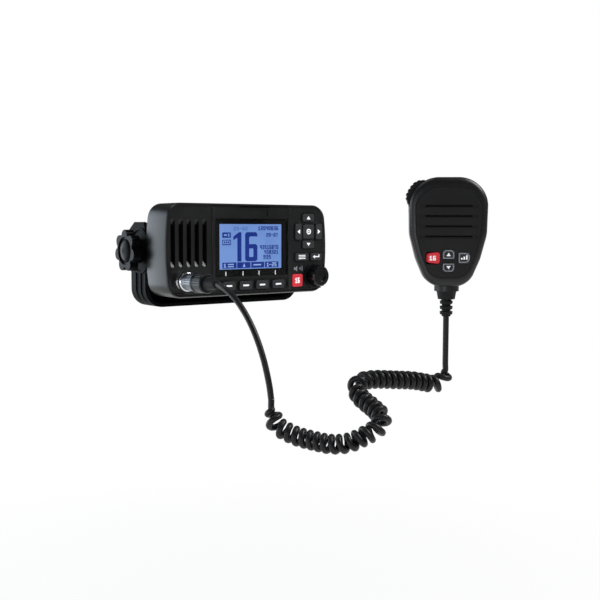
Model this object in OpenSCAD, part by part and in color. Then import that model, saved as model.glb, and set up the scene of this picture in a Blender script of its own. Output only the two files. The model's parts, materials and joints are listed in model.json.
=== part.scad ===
// Fixed-mount VHF marine radio in its gimbal bracket, with its fist microphone on
// a hanger and the curly cord between them.  All sizes are in millimetres.
// The origin is the centre of the four screw holes on the underside of the
// bracket's base.  +Z is up, the front panel faces -Y, and +X is to the right of
// someone who looks at the panel.

/* [Front bezel] */
// Width of the front bezel
bezel_w = 174; // [173:1:176]
// Height of the front bezel
bezel_h = 81.6; // [81:0.2:83]
// Depth of the bezel from its front rim to its back edge
bezel_d = 34; // [34:1:36]
// Corner radius of the bezel outline
bezel_r = 14; // [12:1:18]
// Radius of the bow of the two ends
bow_r = 240; // [230:10:300]
// Wall thickness of the bezel
bezel_wall = 2.5; // [2.5:0.1:2.8]
// Width of the raised rim round the panel
rim_w = 1.6; // [1.5:0.1:2]
// Bevel on the outside of the rim
rim_bevel = 0.8; // [0.6:0.1:1]

/* [Speaker grille] */
// Number of upright sound slots
slot_count = 5; // [3:1:5]
// Distance between two slots
slot_pitch = 7.85; // [7.5:0.05:7.9]
// Width of a slot
slot_w = 4.4; // [3:0.1:5]
// Height of a slot
slot_h = 41.5; // [36:0.5:42]
// Depth of a slot
slot_d = 5; // [3:0.5:5]

/* [Screen] */
// Width of the window over the screen
window_w = 79; // [76:0.5:79]
// Height of the window over the screen
window_h = 51; // [48:0.5:51]
// Width of the lit picture
picture_w = 68.6; // [60:0.1:70]
// Height of the lit picture
picture_h = 41; // [36:0.1:43]

/* [Keys] */
// How far a key travels
key_travel = 0.8; // [0.4:0.1:0.8]
// Gap between a key and its hole
key_gap = 0.25; // [0.2:0.05:0.25]
// Distance between two of the keys under the screen
soft_pitch = 18; // [16:0.5:18]
// How far the volume knob can be pushed
knob_travel = 0.8; // [0.4:0.1:0.8]
// Radius of the volume knob
knob_r = 10; // [9:0.1:10]

/* [Gimbal] */
// Distance over the outsides of the two arms
bracket_w = 166; // [166:1:168]
// Thickness of the bracket
bracket_t = 3; // [2.5:0.1:3]
// Outer radius of the bracket's bends
bend_r = 16; // [14:1:18]
// Height of the pivot above the mounting surface
pivot_z = 50.5; // [50.5:0.5:53]
// Width of the bracket's mounting hole pattern
screw_span_x = 120; // [100:1:124]
// Depth of the bracket's mounting hole pattern
screw_span_y = 12; // [10:1:13]
// Radius of a mounting hole
screw_hole_r = 2.25; // [1.5:0.05:2.5]
// Number of lobes on a gimbal knob
lobe_count = 7; // [5:1:9]
// Radius over the lobes of a gimbal knob
lobe_tip_r = 18.7; // [17:0.1:18.8]
// Length of a gimbal knob
gimbal_knob_l = 14; // [12:0.1:15]

/* [Microphone] */
// Half thickness of the microphone
mic_half_t = 13; // [13:0.5:14]
// How far the talk switch is pressed
talk_travel = 1.5; // [0.5:0.1:1.5]
// Radius of the hang-up stud's neck
stud_neck_r = 4; // [3.5:0.1:4]
// Thickness of the hanger's plates
hanger_t = 2.2; // [1.6:0.1:2.2]
// Radius of a hanger screw hole
hanger_hole_r = 2.2; // [1.5:0.1:2.5]

/* [Cord] */
// Diameter of the cord
cord_d = 5; // [4.4:0.1:5]
// Outer diameter of the curls
curl_d = 15.6; // [14:0.1:16]
// Least gap between two curls
curl_gap = 0.6; // [0.5:0.05:0.8]

/* [Hidden] */
$fn = 48;
e = 0.01;

// Places of the radio in the part's frame: the corner that the panel's drawings start
// from, their middle, and the plane of the front rim
panel_x0 = -85;
panel_z0 = pivot_z - 39;
panel_mid = [85, 40];
front_y = -53;

// Depths behind the front of the rim, along +Y
face_d = 1;
wall_d = 3.6;
flange_d = 3.9;
flange_t = 0.8;
mat_d = flange_d + flange_t + key_travel + 0.3;
board_d = mat_d + 1;
board_t = 1.6;
grille_d = 7;
chassis_rear_d = 74;
fin_rear_d = 78;
key_proud = 0.5;
red_key_proud = 0.2;
knob_front_d = -10;
knob_rear_d = -0.4 - knob_travel;

// Places on the panel, from the lower left corner of the bezel: x right, z up
slot_x0 = 5.8;
slot_z = 46.4;
ridge_x = [46.2, 129];
window_c = [87.4, 41.9];
picture_c = [87.4, 42.5];
soft_z = 8;
knob_c = [158.7, 14.3];
socket_c = [14.6, 13.8];
speaker_c = [21.5, slot_z];

// Each key: name, centre x, centre z, width, height, corner radius
keys = [
    ["soft_key_1", 88.5 - 1.5 * soft_pitch, soft_z, 13.3, 7.6, 1.6],
    ["soft_key_2", 88.5 - 0.5 * soft_pitch, soft_z, 13.3, 7.6, 1.6],
    ["soft_key_3", 88.5 + 0.5 * soft_pitch, soft_z, 13.3, 7.6, 1.6],
    ["soft_key_4", 88.5 + 1.5 * soft_pitch, soft_z, 13.3, 7.6, 1.6],
    ["key_up", 150.4, 69, 13.6, 6.8, 1.5],
    ["key_down", 150.4, 43.9, 13.6, 7.2, 1.5],
    ["key_left", 138.8, 56, 7.4, 14.6, 1.5],
    ["key_right", 163, 56, 7.4, 14.6, 1.5],
    ["key_ok", 150.6, 56, 13.2, 13, 1.8],
    ["key_menu", 142.8, 32.3, 15.4, 7, 1.6],
    ["key_back", 159.8, 32.3, 13, 7, 1.6],
    ["key_red", 137.9, 10.4, 11.6, 11.6, 1.8]
];

// Chassis
chassis_half_w = 77.5;
chassis_h = 48;
chassis_wall = 3;
chassis_r = 6;
insert_r = 5;
pivot_stud_r = 3;
pivot_bore_r = 3.06;
arm_hole_r = 3.4;
case_screw_xs = [14, 156];
case_screw_zs = [21.5, 58.5];
antenna_c = [85, 47];
antenna_r = 7.94;
gland_cs = [[70, 26], [97, 26]];
gland_bore_r = 3;
gland_l = 12;
gland_bore_l = 7.5;

// Gimbal bracket, as half widths from the middle plane
arm_out = bracket_w / 2;
rib_rise = 1;
rib_ys = [-9.5, -0.5, 8.5];
rib_w = 2.4;
rib_top = 31;
boss_rise = 1.2;
washer_gap = 0.3;
knob_in = arm_out + boss_rise + 0.4;
arm_side = [
    [-10.7, -1], [-10.9, 8], [-15.4, 39], [-15.4, 59.5], [-6, pivot_z + 25.5],
    [10.6, pivot_z + 25.5], [23, pivot_z + 17.5], [23, pivot_z - 8], [18, pivot_z - 20],
    [18, -1]
];
arm_y = [-16, 24];
lip_y = [15.5, 18];
lip_h = 10;
lip_half_w = 67;
lobe_r = 5.4;
knob_web_r = 14.6;
knob_hub_r = 11.4;
knob_hub_l = 6;

// Microphone plug, as distances along Y
nose_r = 6.3;
nose_bore_r = 6.38;
ring_y = [-63, -57];
barrel_y = [-78, -63.3];
sleeve_y = [-94, -78];
boot_y = [-108, -94];

// Microphone: its own frame has x right, y to the back and z up
mic_pos = [93, -205, 68];
mic_turn = -41;
corner_c = [8, 20.7];
talk_angles = [118, 176];
talk_r = [20.5, 28.2];
mic_key_list = [
    ["mic_key_red", -12.6, -21.2, 11.4, 10],
    ["mic_key_up", 0, -18.2, 10.2, 8.2],
    ["mic_key_down", 0, -28.9, 10.2, 7.6],
    ["mic_key_side", 12.6, -21, 10.2, 9.4]
];
louvre_zs = [21.2, 13, 4.7, -3.6];
// Outlines as pairs of circles: distance from the middle, height and radius
mic_circles = [[8, 20.7, 24], [2.5, 2, 29], [3.3, -14, 24.2], [4.8, -27, 17.8]];
face_circles = [[7.5, 17, 19.3], [2.5, 2, 23.6], [3, -12, 19.6], [5, -23, 14]];
egg_step = 5;
stud_z = 22;
hanger_zs = [-2.5, 31.5];
lead_top_z = -70;

// Routes of the cord in the part's frame, chosen by hand
plug_route = [
    [-70.4, -109, 25.3], [-70.4, -113, 24.8], [-69.5, -121, 21.5],
    [-67, -131.4, 14], [-64.8, -143.6, 1], [-63.2, -153.7, -14],
    [-61.8, -161.5, -31], [-61.1, -167.2, -48], [-61, -170, -60]
];
curl_route = [
    [-61, -170, -60], [-61.8, -171.8, -69.5], [-60, -176.5, -79], [-52.5, -188, -85.5],
    [-44, -202.5, -88.5], [-37, -215, -89.5], [-29.5, -225, -87.5], [-20.5, -232, -82.5],
    [-10, -235, -77], [-1.5, -230, -71.5], [1.2, -217.5, -66.5], [1.2, -204, -61],
    [4.5, -193.5, -55], [13.5, -189.5, -51.2], [26, -191, -50.4],
    [46, -195.5, -52.2], [62, -198.6, -54], [74, -201.1, -56.6], [82.3, -202.8, -58.2],
    [89.8, -204.3, -55.6], [93, -205, -48.5], [93, -205, -41]
];
lead_foot = curl_route[len(curl_route) - 1];

// ---------------------------------------------------------------- 2D helpers

// A rectangle with round corners, about its centre
module rounded(w, h, r) {
    square([w - 2 * r, h], center = true);
    square([w, h - 2 * r], center = true);
    for (sx = [-1, 1], sy = [-1, 1])
        translate([sx * (w / 2 - r), sy * (h / 2 - r)]) circle(r);
}

// The same between two corners
module patch(x0, z0, x1, z1, r) {
    translate([(x0 + x1) / 2, (z0 + z1) / 2]) rounded(x1 - x0, z1 - z0, r);
}

// A drawing on the panel, made solid between two depths behind the rim
module panel(d0, d1) {
    translate([panel_x0, front_y + d1, panel_z0])
        rotate([90, 0, 0]) linear_extrude(d1 - d0) children();
}

// A drawing in XZ, made solid between two places along Y
module across(y0, y1) {
    translate([0, y1, 0]) rotate([90, 0, 0]) linear_extrude(y1 - y0) children();
}

// A drawing in YZ, made solid between two places along X
module along_x(x0, x1) {
    translate([x0, 0, 0]) rotate([90, 0, 90]) linear_extrude(x1 - x0) children();
}

// A turned shape round an axis that points to -Y: the profile is [radius, y]
module turned_y(centre, points) {
    translate([panel_x0 + centre[0], 0, panel_z0 + centre[1]])
        rotate([-90, 0, 0]) rotate_extrude() polygon(points);
}

// A quarter of the bezel's outline: the bowed end, then the corner, which meet smoothly
meet_angle = asin((bezel_h / 2 - bezel_r) / (bow_r - bezel_r));
corner_x = bezel_w / 2 - bow_r + (bow_r - bezel_r) * cos(meet_angle);
corner_z = bezel_h / 2 - bezel_r;
function quarter(inset) = concat(
    [for (i = [0:4]) let (a = meet_angle * i / 5)
        [bezel_w / 2 - bow_r, 0] + (bow_r - inset) * [cos(a), sin(a)]],
    [for (i = [0:12]) let (a = meet_angle + (90 - meet_angle) * i / 12)
        [corner_x, corner_z] + (bezel_r - inset) * [cos(a), sin(a)]]);

// The outline of the bezel, drawn in by some distance
module bezel_outline(inset) {
    q = quarter(inset);
    n = len(q) - 1;
    translate(panel_mid) polygon(concat(
        q,
        [for (i = [n:-1:0]) [-q[i][0], q[i][1]]],
        [for (i = [1:n]) [-q[i][0], -q[i][1]]],
        [for (i = [n:-1:1]) [q[i][0], -q[i][1]]]));
}

// ---------------------------------------------------------------- radio

module slot_cut(x) {
    hull() {
        panel(face_d - 1, face_d) translate([x, slot_z])
            rounded(slot_w, slot_h, slot_w / 2 - e, $fn = 24);
        panel(face_d + slot_d - e, face_d + slot_d) translate([x, slot_z - 0.5])
            rounded(slot_w - 1.4, slot_h - 9, slot_w / 2 - 0.7 - e, $fn = 24);
    }
    panel(face_d + slot_d - 1, grille_d + 1) translate([x, slot_z - 0.5])
        rounded(1.6, slot_h - 14, 0.79);
}

module bezel_shell() {
    difference() {
        union() {
            hull() {
                panel(0, e) bezel_outline(rim_bevel);
                panel(rim_bevel - e, rim_bevel) bezel_outline(0);
            }
            panel(rim_bevel - e, bezel_d) bezel_outline(0);
        }
        panel(-1, face_d) bezel_outline(rim_w);
        panel(wall_d, bezel_d + 1) bezel_outline(bezel_wall);
    }
}

// The ridges that frame the screen, the brow above it and the knob's collar
module panel_relief() {
    for (x = ridge_x) panel(0.1, face_d + e) patch(x - 1.1, 2.6, x + 1.1, 77.4, 0.6);
    panel(0.3, face_d + e) patch(ridge_x[0], 68, ridge_x[1], 77.4, 0.6);
    panel(0.2, face_d + e) patch(ridge_x[0], 14.4, ridge_x[1], 15.9, 0.4);
    panel(0.2, face_d + e) patch(4, 2.4, 166, 3.1, 0.3);
    panel(-0.6, face_d + e) translate(knob_c) difference() {
        circle(knob_r + 2.2);
        circle(knob_r + 1);
    }
    panel(0.4, face_d + e) translate(socket_c) difference() {
        circle(9.6);
        circle(8.4);
    }
    panel(face_d, grille_d) patch(2.2, 21.5, 43.6, 71.5, 3);
}

// The shallow recesses round the keys, and the bare badge place
module panel_recesses() {
    panel(-1, face_d + 0.8) patch(49.5, 2.9, 127, 13.4, 5);
    panel(-1, 0.9) patch(69.3, 69.6, 104, 76.4, 1.5);
    panel(-1, face_d + 0.5) {
        patch(133.8, 46.6, 167.6, 65.4, 2.4);
        patch(142.2, 39, 158.6, 73.8, 2.4);
    }
    panel(-1, face_d + 0.5) patch(133.8, 27.6, 167.6, 37, 2.4);
    panel(-1, face_d + 1.45) translate(window_c)
        rounded(window_w + 0.3, window_h + 0.3, 2);
}

module front_bezel() color("#2b2c2f") difference() {
    union() {
        bezel_shell();
        panel_relief();
    }
    panel_recesses();
    for (i = [0:slot_count - 1]) slot_cut(slot_x0 + i * slot_pitch);
    panel(-1, wall_d + 1) translate(picture_c)
        rounded(picture_w + 2.4, picture_h + 2.4, 1.2);
    for (k = keys) panel(-1, wall_d + 1) translate([k[1], k[2]])
        rounded(k[3] + 2 * key_gap, k[4] + 2 * key_gap, k[5]);
    turned_y(knob_c, [[0, front_y - 1], [5, front_y - 1],
                      [5, front_y + 5], [0, front_y + 5]]);
    turned_y(socket_c, [[0, front_y - 1], [6.2, front_y - 1],
                        [6.2, front_y + 5], [0, front_y + 5]]);
}

module bezel_gasket() color("#151515") panel(bezel_d - 2.4, bezel_d - 0.4) difference() {
    bezel_outline(bezel_wall + 0.1);
    bezel_outline(bezel_wall + 2.4);
}

module chassis_drawing(inset) {
    translate(panel_mid)
        rounded(2 * (chassis_half_w - inset), chassis_h - 2 * inset, chassis_r - inset);
}

module chassis() color("#232427") difference() {
    union() {
        difference() {
            union() {
                panel(bezel_d - 3, bezel_d) bezel_outline(bezel_wall + 2.5);
                panel(bezel_d - e, chassis_rear_d) chassis_drawing(0);
            }
            panel(bezel_d - 4, chassis_rear_d - 3) chassis_drawing(chassis_wall);
        }
        for (x = case_screw_xs, z = case_screw_zs)
            panel(bezel_d, chassis_rear_d - 2) translate([x, z]) circle(4.5);
        for (s = [-1, 1]) translate([s * (chassis_half_w - 6), 0, pivot_z])
            rotate([0, 90, 0]) cylinder(r = 8, h = 11, center = true);
        for (x = [[22:7:57], [106.5:7:148]], i = x)
            panel(chassis_rear_d - e, fin_rear_d) patch(i, 19, i + 2.2, 61, 1);
    }
    for (s = [-1, 1]) translate([s * (chassis_half_w - 4), 0, pivot_z])
        rotate([0, 90, 0]) cylinder(r = insert_r + 0.02, h = 8 + 2 * e, center = true);
    for (x = case_screw_xs, z = case_screw_zs)
        turned_y([x, z], [[0, 5], [1.55, 5], [1.55, 30], [0, 30]]);
    turned_y(antenna_c, [[0, 10], [6.1, 10], [6.1, 30], [0, 30]]);
    for (c = gland_cs) turned_y(c, [[0, 10], [5.1, 10], [5.1, 30], [0, 30]]);
}

module case_screws() color("#b9bcc0") {
    rear = front_y + chassis_rear_d;
    for (x = case_screw_xs, z = case_screw_zs) turned_y([x, z], [
        [0, rear - 14], [1.5, rear - 14], [1.5, rear], [3.2, rear],
        [3.2, rear + 1.3], [2.2, rear + 2.2], [0, rear + 2.4]
    ]);
}

module pivot_inserts() color("#b08d4f") for (s = [-1, 1])
    translate([s * (chassis_half_w - 4), 0, pivot_z]) rotate([0, 90, 0])
        difference() {
            cylinder(r = insert_r, h = 8, center = true);
            cylinder(r = pivot_bore_r, h = 9, center = true);
        }

module friction_washers() color("#1b1b1c") {
    t = arm_out - bracket_t - chassis_half_w - washer_gap;
    for (s = [-1, 1]) translate([s * (chassis_half_w + t / 2), 0, pivot_z])
        rotate([0, 90, 0]) difference() {
            cylinder(r = 11, h = t, center = true);
            cylinder(r = arm_hole_r, h = t + 1, center = true);
        }
}

module antenna_socket() color("#c4c6c9") {
    rear = front_y + chassis_rear_d;
    turned_y(antenna_c, [[0, rear - 9], [6, rear - 9], [6, rear], [11, rear],
                         [11, rear + 2], [antenna_r, rear + 2], [antenna_r, rear + 14],
                         [6.6, rear + 14], [6.6, rear + 9], [2.6, rear + 9],
                         [2.6, rear + 12], [0, rear + 12]]);
}

module cable_glands() color("#161616") {
    rear = front_y + chassis_rear_d;
    for (c = gland_cs) turned_y(c, [
        [0, rear - 6], [5, rear - 6], [5, rear], [8, rear], [8, rear + 2.5],
        [6.4, rear + 3.2], [5.4, rear + gland_l], [gland_bore_r, rear + gland_l],
        [gland_bore_r, rear + gland_l - gland_bore_l], [0, rear + gland_l - gland_bore_l]
    ]);
}

module screen_window() color("#3a6ea8", 0.4) panel(face_d + 0.1, face_d + 1.4)
    translate(window_c) rounded(window_w, window_h, 1.9);

module lcd_panel() color("#5b9bea") panel(flange_d, flange_d + 2)
    translate(picture_c) rounded(picture_w + 4.6, picture_h + 4.6, 0.8);

module lcd_frame() color("#101010") difference() {
    panel(wall_d + 0.1, board_d - 0.1) translate(picture_c)
        rounded(picture_w + 7.8, picture_h + 7.8, 1.2);
    panel(wall_d, flange_d + 2.05) translate(picture_c)
        rounded(picture_w + 4.8, picture_h + 4.8, 0.8);
}

module speaker_gasket() color("#0c0c0c") panel(grille_d, grille_d + 1)
    translate(speaker_c) difference() {
        circle(18);
        circle(16);
    }

module speaker_driver() color("#3b3c3e") {
    y = front_y + grille_d + 1;
    turned_y(speaker_c, [[0, y + 9], [5, y + 8.4], [14.5, y + 1.4], [18, y], [18, y + 2],
                         [15.5, y + 2.4], [9.5, y + 10], [11, y + 10], [11, y + 16],
                         [0, y + 16]]);
}

module keypad_mat() color("#4a4b4d") panel(mat_d, board_d) {
    patch(53, 3.4, 144.6, 13, 2);
    patch(131.4, 3.4, 144.6, 74, 2);
    patch(131.4, 25.6, 167, 73.8, 4);
}

module main_board() color("#1f5a36") panel(board_d, board_d + board_t)
    intersection() {
        patch(45.2, 3.2, 166.8, 76.8, 2);
        bezel_outline(3.2);
    }

// A key cap with the flange that keeps it behind the panel
module key(name) {
    k = keys[search([name], keys)[0]];
    proud = k[0] == "key_red" ? red_key_proud : key_proud;
    panel(-proud, flange_d + e) translate([k[1], k[2]]) rounded(k[3], k[4], k[5]);
    panel(flange_d, flange_d + flange_t) translate([k[1], k[2]])
        rounded(k[3] + 0.9, k[4] + 0.9, k[5]);
}

module encoder_body() color("#8a8c8f") difference() {
    union() {
        panel(flange_d - 0.1, board_d) translate(knob_c) square(12.6, center = true);
        turned_y(knob_c, [[0, front_y + 0.2], [4.6, front_y + 0.2],
                          [4.6, front_y + 4], [0, front_y + 4]]);
    }
    turned_y(knob_c, [[0, front_y - 1], [3.06, front_y - 1],
                      [3.06, front_y + 5.7], [0, front_y + 5.7]]);
}

module encoder_shaft() color("#9a9c9f") turned_y(knob_c, [
    [0, front_y - 7.5], [3, front_y - 7.5], [3, front_y + 4.5], [0, front_y + 4.5]
]);

module volume_knob() color("#1e1f20") difference() {
    knob_y = front_y + knob_front_d;
    intersection() {
        panel(knob_front_d, knob_rear_d) translate(knob_c) difference() {
            circle(knob_r);
            for (i = [0:11]) rotate(i * 30) translate([knob_r + 0.7, 0])
                circle(1.5, $fn = 24);
        }
        turned_y(knob_c, [[0, knob_y], [knob_r - 1.3, knob_y], [knob_r, knob_y + 1.6],
                          [knob_r, front_y], [0, front_y]]);
    }
    turned_y(knob_c, [[0, knob_y - 1], [5.6, knob_y - 1], [4.8, knob_y + 1.4],
                      [0, knob_y + 1.4]]);
    turned_y(knob_c, [[0, front_y - 7.8], [3.06, front_y - 7.8], [3.06, front_y - 2],
                      [5.2, front_y - 2], [5.2, front_y], [0, front_y]]);
}

// ---------------------------------------------------------------- gimbal

// The solid outline of the bracket seen from the front
module bracket_outline(half, corner) {
    translate([-half, corner]) square([2 * half, pivot_z + 30 - corner]);
    translate([corner - half, 0]) square([2 * (half - corner), corner + e]);
    for (s = [-1, 1]) translate([s * (half - corner), corner])
        circle(corner, $fn = 96);
}

module bracket_inside() {
    translate([0, bracket_t]) bracket_outline(arm_out - bracket_t, bend_r - bracket_t);
}

module gimbal_bracket() color("#26272a") difference() {
    intersection() {
        union() {
            across(arm_y[0], arm_y[1]) difference() {
                bracket_outline(arm_out, bend_r);
                bracket_inside();
            }
            across(lip_y[0], lip_y[1]) translate([-lip_half_w, e])
                square([2 * lip_half_w, lip_h]);
            for (y = rib_ys) across(y - rib_w / 2, y + rib_w / 2) intersection() {
                difference() {
                    bracket_outline(arm_out + rib_rise, bend_r + rib_rise);
                    bracket_inside();
                }
                translate([-100, 0]) square([200, rib_top]);
            }
            for (s = [-1, 1]) translate([s * (arm_out + boss_rise / 2), 0, pivot_z])
                rotate([0, 90, 0]) difference() {
                    cylinder(r = 20.3, h = boss_rise + 2 * e, center = true);
                    cylinder(r = 18.4, h = 3, center = true);
                }
        }
        along_x(-100, 100) polygon(arm_side);
    }
    translate([0, 0, pivot_z]) rotate([0, 90, 0])
        cylinder(r = arm_hole_r, h = 200, center = true);
    for (sx = [-1, 1], sy = [-1, 1])
        translate([sx * screw_span_x / 2, sy * screw_span_y / 2, -1])
            cylinder(r = screw_hole_r, h = bracket_t + 2);
}

// A lobed clamp knob whose axis is X; side is 1 on the right and -1 on the left
module gimbal_knob(side) {
    recess_x = gimbal_knob_l - 1.6;
    translate([side * knob_in, 0, pivot_z]) rotate([0, side * 90, 0]) difference() {
        union() {
            difference() {
                translate([0, 0, knob_hub_l]) linear_extrude(gimbal_knob_l - knob_hub_l) {
                    circle(knob_web_r);
                    for (i = [0:lobe_count - 1]) rotate(i * 360 / lobe_count)
                        translate([lobe_tip_r - lobe_r, 0]) circle(lobe_r, $fn = 32);
                }
                translate([0, 0, recess_x]) cylinder(r = 12, h = 3);
            }
            cylinder(r = knob_hub_r, h = knob_hub_l + e);
            rotate_extrude() polygon([[0, 1], [10.2, 1], [10.2, recess_x],
                                      [9.7, recess_x + 0.8], [7.4, recess_x + 2],
                                      [4, recess_x + 2.8], [0, recess_x + 3.1]]);
        }
        cylinder(r = pivot_stud_r + 0.02, h = 7, center = true);
        cylinder(r = pivot_stud_r + 0.02, h = 7);
    }
}

module knob_stud(side) translate([side * 80.5, 0, pivot_z]) rotate([0, 90, 0])
    cylinder(r = pivot_stud_r, h = 20, center = true);

// ---------------------------------------------------------------- plug

module mic_socket() color("#c9cbce") {
    turned_y(socket_c, [
        [0, front_y - 6], [nose_r, front_y - 6], [nose_r, front_y - 1], [7.1, front_y - 1],
        [7.1, front_y + face_d], [6.1, front_y + face_d], [6.1, front_y + wall_d],
        [7.4, front_y + wall_d], [7.4, front_y + wall_d + 2.2], [6, front_y + wall_d + 2.2],
        [6, front_y + 12], [0, front_y + 12]
    ]);
}

module plug_ring() color("#d9dbde") turned_y(socket_c, [
    [nose_bore_r, ring_y[0]], [7.6, ring_y[0]], [8.35, ring_y[0] + 0.8],
    [8.35, ring_y[1] - 2], [7.4, ring_y[1]], [nose_bore_r, ring_y[1]]
]);

module plug_barrel() color("#9fa2a6") difference() {
    turned_y(socket_c, [[0, barrel_y[0]], [7.5, barrel_y[0]], [7.5, barrel_y[1]],
                        [5.9, barrel_y[1]], [5.9, front_y - 6.2], [0, front_y - 6.2]]);
    for (i = [0:23]) translate([panel_x0 + socket_c[0], 0, panel_z0 + socket_c[1]])
        rotate([0, i * 15, 0]) translate([7.6, barrel_y[0] + 1.5, 0]) rotate([-90, 0, 0])
            cylinder(r = 0.4, h = 9, $fn = 4);
}

module plug_sleeve() color("#1f2022") difference() {
    turned_y(socket_c, [[0, sleeve_y[0]], [7.6, sleeve_y[0]], [8.1, sleeve_y[0] + 1],
                        [8.2, sleeve_y[1] - 3], [8.65, sleeve_y[1] - 2.4],
                        [8.65, sleeve_y[1] - 0.6], [8.1, sleeve_y[1]], [0, sleeve_y[1]]]);
    for (i = [0:23]) translate([panel_x0 + socket_c[0], 0, panel_z0 + socket_c[1]])
        rotate([0, i * 15, 0]) translate([8.4, sleeve_y[0] + 3, 0]) rotate([-90, 0, 0])
            cylinder(r = 0.6, h = 9, $fn = 4);
}

module plug_boot() color("#141414") turned_y(socket_c, [
    [0, boot_y[0]], [3.3, boot_y[0]], [3.8, boot_y[0] + 1], [4.6, boot_y[0] + 6],
    [5.6, boot_y[1] - 1.5], [6, boot_y[1]], [0, boot_y[1]]
]);

// ---------------------------------------------------------------- cord

// A point of the smooth curve through the route, at u points along it
function route_at(route, u) =
    let (n = len(route) - 1, i = min(floor(u), n - 1), t = u - i,
         p1 = route[i], p2 = route[i + 1],
         p0 = i > 0 ? route[i - 1] : 2 * p1 - p2,
         p3 = i < n - 1 ? route[i + 2] : 2 * p2 - p1)
    0.5 * (2 * p1 + (p2 - p0) * t + (2 * p0 - 5 * p1 + 4 * p2 - p3) * t * t
           + (3 * p1 - p0 - 3 * p2 + p3) * t * t * t);

function unit(v) = v / norm(v);

// The direction of a line of points at one of them
function heading(line, i) =
    unit(line[min(i + 1, len(line) - 1)] - line[max(i - 1, 0)]);

// A direction across each point of a line, turned as little as it can be
function across_line(line, start) =
    [for (j = 0, v = unit(cross(cross(heading(line, 0), start), heading(line, 0)));
          j < len(line); j = j + 1,
          v = j < len(line) ? unit(v - (v * heading(line, j)) * heading(line, j)) : v) v];

// A closed tube of triangles round a line of points
module tube(line, r, sides, start) {
    ups = across_line(line, start);
    last = len(line) - 1;
    rings = [for (j = [0:last]) let (h = heading(line, j), b = cross(h, ups[j]))
        for (a = [0:sides - 1]) line[j] + r * (cos(a * 360 / sides) * ups[j]
                                              + sin(a * 360 / sides) * b)];
    side_faces = [for (j = [0:last - 1], a = [0:sides - 1])
        let (p = j * sides + a, q = j * sides + (a + 1) % sides)
        each [[p, q + sides, q], [p, p + sides, q + sides]]];
    end_faces = [for (a = [1:sides - 2])
        each [[0, a, a + 1], [last * sides, last * sides + a + 1, last * sides + a]]];
    polyhedron(rings, concat(side_faces, end_faces));
}

// The curly cord: the route is cut fine, the curls' angle is summed along it with
// a step that opens at bends, and the rings stand at equal angles
curl_r = (curl_d - cord_d) / 2;
fine_n = 30 * (len(curl_route) - 1);
fine = [for (i = [0:fine_n]) route_at(curl_route, i * (len(curl_route) - 1) / fine_n)];
fine_len = [for (i = 0, s = 0; i <= fine_n; i = i + 1,
                 s = i <= fine_n ? s + norm(fine[i] - fine[i - 1]) : s) s];
cord_run = fine_len[fine_n];
bend_span = 14;
function bend_at(i) =
    let (a = fine[max(i - bend_span, 0)], b = fine[i], c = fine[min(i + bend_span, fine_n)],
         area = norm(cross(b - a, c - a)))
    2 * area / max(norm(b - a) * norm(c - b) * norm(c - a), e);
// The curls grow out of the straight lead, and back into it at the other end
straight_run = cord_d + 1;
grow_run = 7;
function grown(s) =
    let (t = min(1, max(0, (min(s, cord_run - s) - straight_run) / grow_run)))
    t * t * (3 - 2 * t);
pitches = [for (i = [0:fine_n])
    (cord_d + curl_gap) / (1 - min(0.5, 1.2 * curl_r * bend_at(i) * grown(fine_len[i])))];
turns = [for (i = 0, a = 0; i <= fine_n; i = i + 1,
              a = i <= fine_n ? a + 360 * (fine_len[i] - fine_len[i - 1]) / pitches[i] : a) a];
turn_table = [for (i = [0:fine_n]) [turns[i], i]];
ring_n = floor(turns[fine_n] / 45);
fine_ups = across_line(fine, [0.6, 0.8, 0]);
function curl_point(j) =
    let (f = lookup(min(j * turns[fine_n] / ring_n, turns[fine_n]), turn_table),
         i = min(floor(f), fine_n - 1), p = fine[i] + (f - i) * (fine[i + 1] - fine[i]),
         s = fine_len[i] + (f - i) * (fine_len[i + 1] - fine_len[i]),
         angle = turns[i] + (f - i) * (turns[i + 1] - turns[i]),
         b = cross(heading(fine, i), fine_ups[i]))
    p + curl_r * grown(s) * (cos(angle) * fine_ups[i] + sin(angle) * b);
curl_line = [for (j = [0:ring_n]) curl_point(j)];

// Distance from a point to the stretch between two others
function to_stretch(p, a, b) =
    let (t = max(0, min(1, (p - a) * (b - a) / max((b - a) * (b - a), e))))
    norm(p - a - t * (b - a));
curl_run = [for (j = 0, s = 0; j <= ring_n; j = j + 1,
                 s = j <= ring_n ? s + norm(curl_line[j] - curl_line[j - 1]) : s) s];
far_along = 2.5 * cord_d;
least_gap = min([for (j = [0:ring_n - 1], k = [j + 1:1:ring_n - 1])
    if (curl_run[k] - curl_run[j + 1] > far_along)
        min(to_stretch(curl_line[j], curl_line[k], curl_line[k + 1]),
            to_stretch(curl_line[k], curl_line[j], curl_line[j + 1]))]) - cord_d;
echo(curls = ring_n / 8, route_mm = cord_run, least_gap_mm = least_gap);

module curly_cord() color("#121212") tube(curl_line, cord_d / 2, 6, [0.6, 0.8, 0]);

// The lead leaves the boot square to its end
plug_rings = 43;
plug_line = [[plug_route[0][0], boot_y[0], plug_route[0][2]], for (i = [0:plug_rings])
    route_at(plug_route, i * (len(plug_route) - 1) / plug_rings)];

module plug_lead() color("#121212") tube(plug_line, cord_d / 2, 8, [1, 0, 0]);

lead_top = mic_pos + [0, 0, lead_top_z];
lead_line = [for (i = [0:4]) lead_foot + i / 4 * (lead_top - lead_foot)];

module mic_lead() color("#121212") tube(lead_line, cord_d / 2, 8, [1, 0, 0]);

// ---------------------------------------------------------------- microphone

module at_mic() translate(mic_pos) rotate([0, 0, mic_turn]) children();

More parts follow.
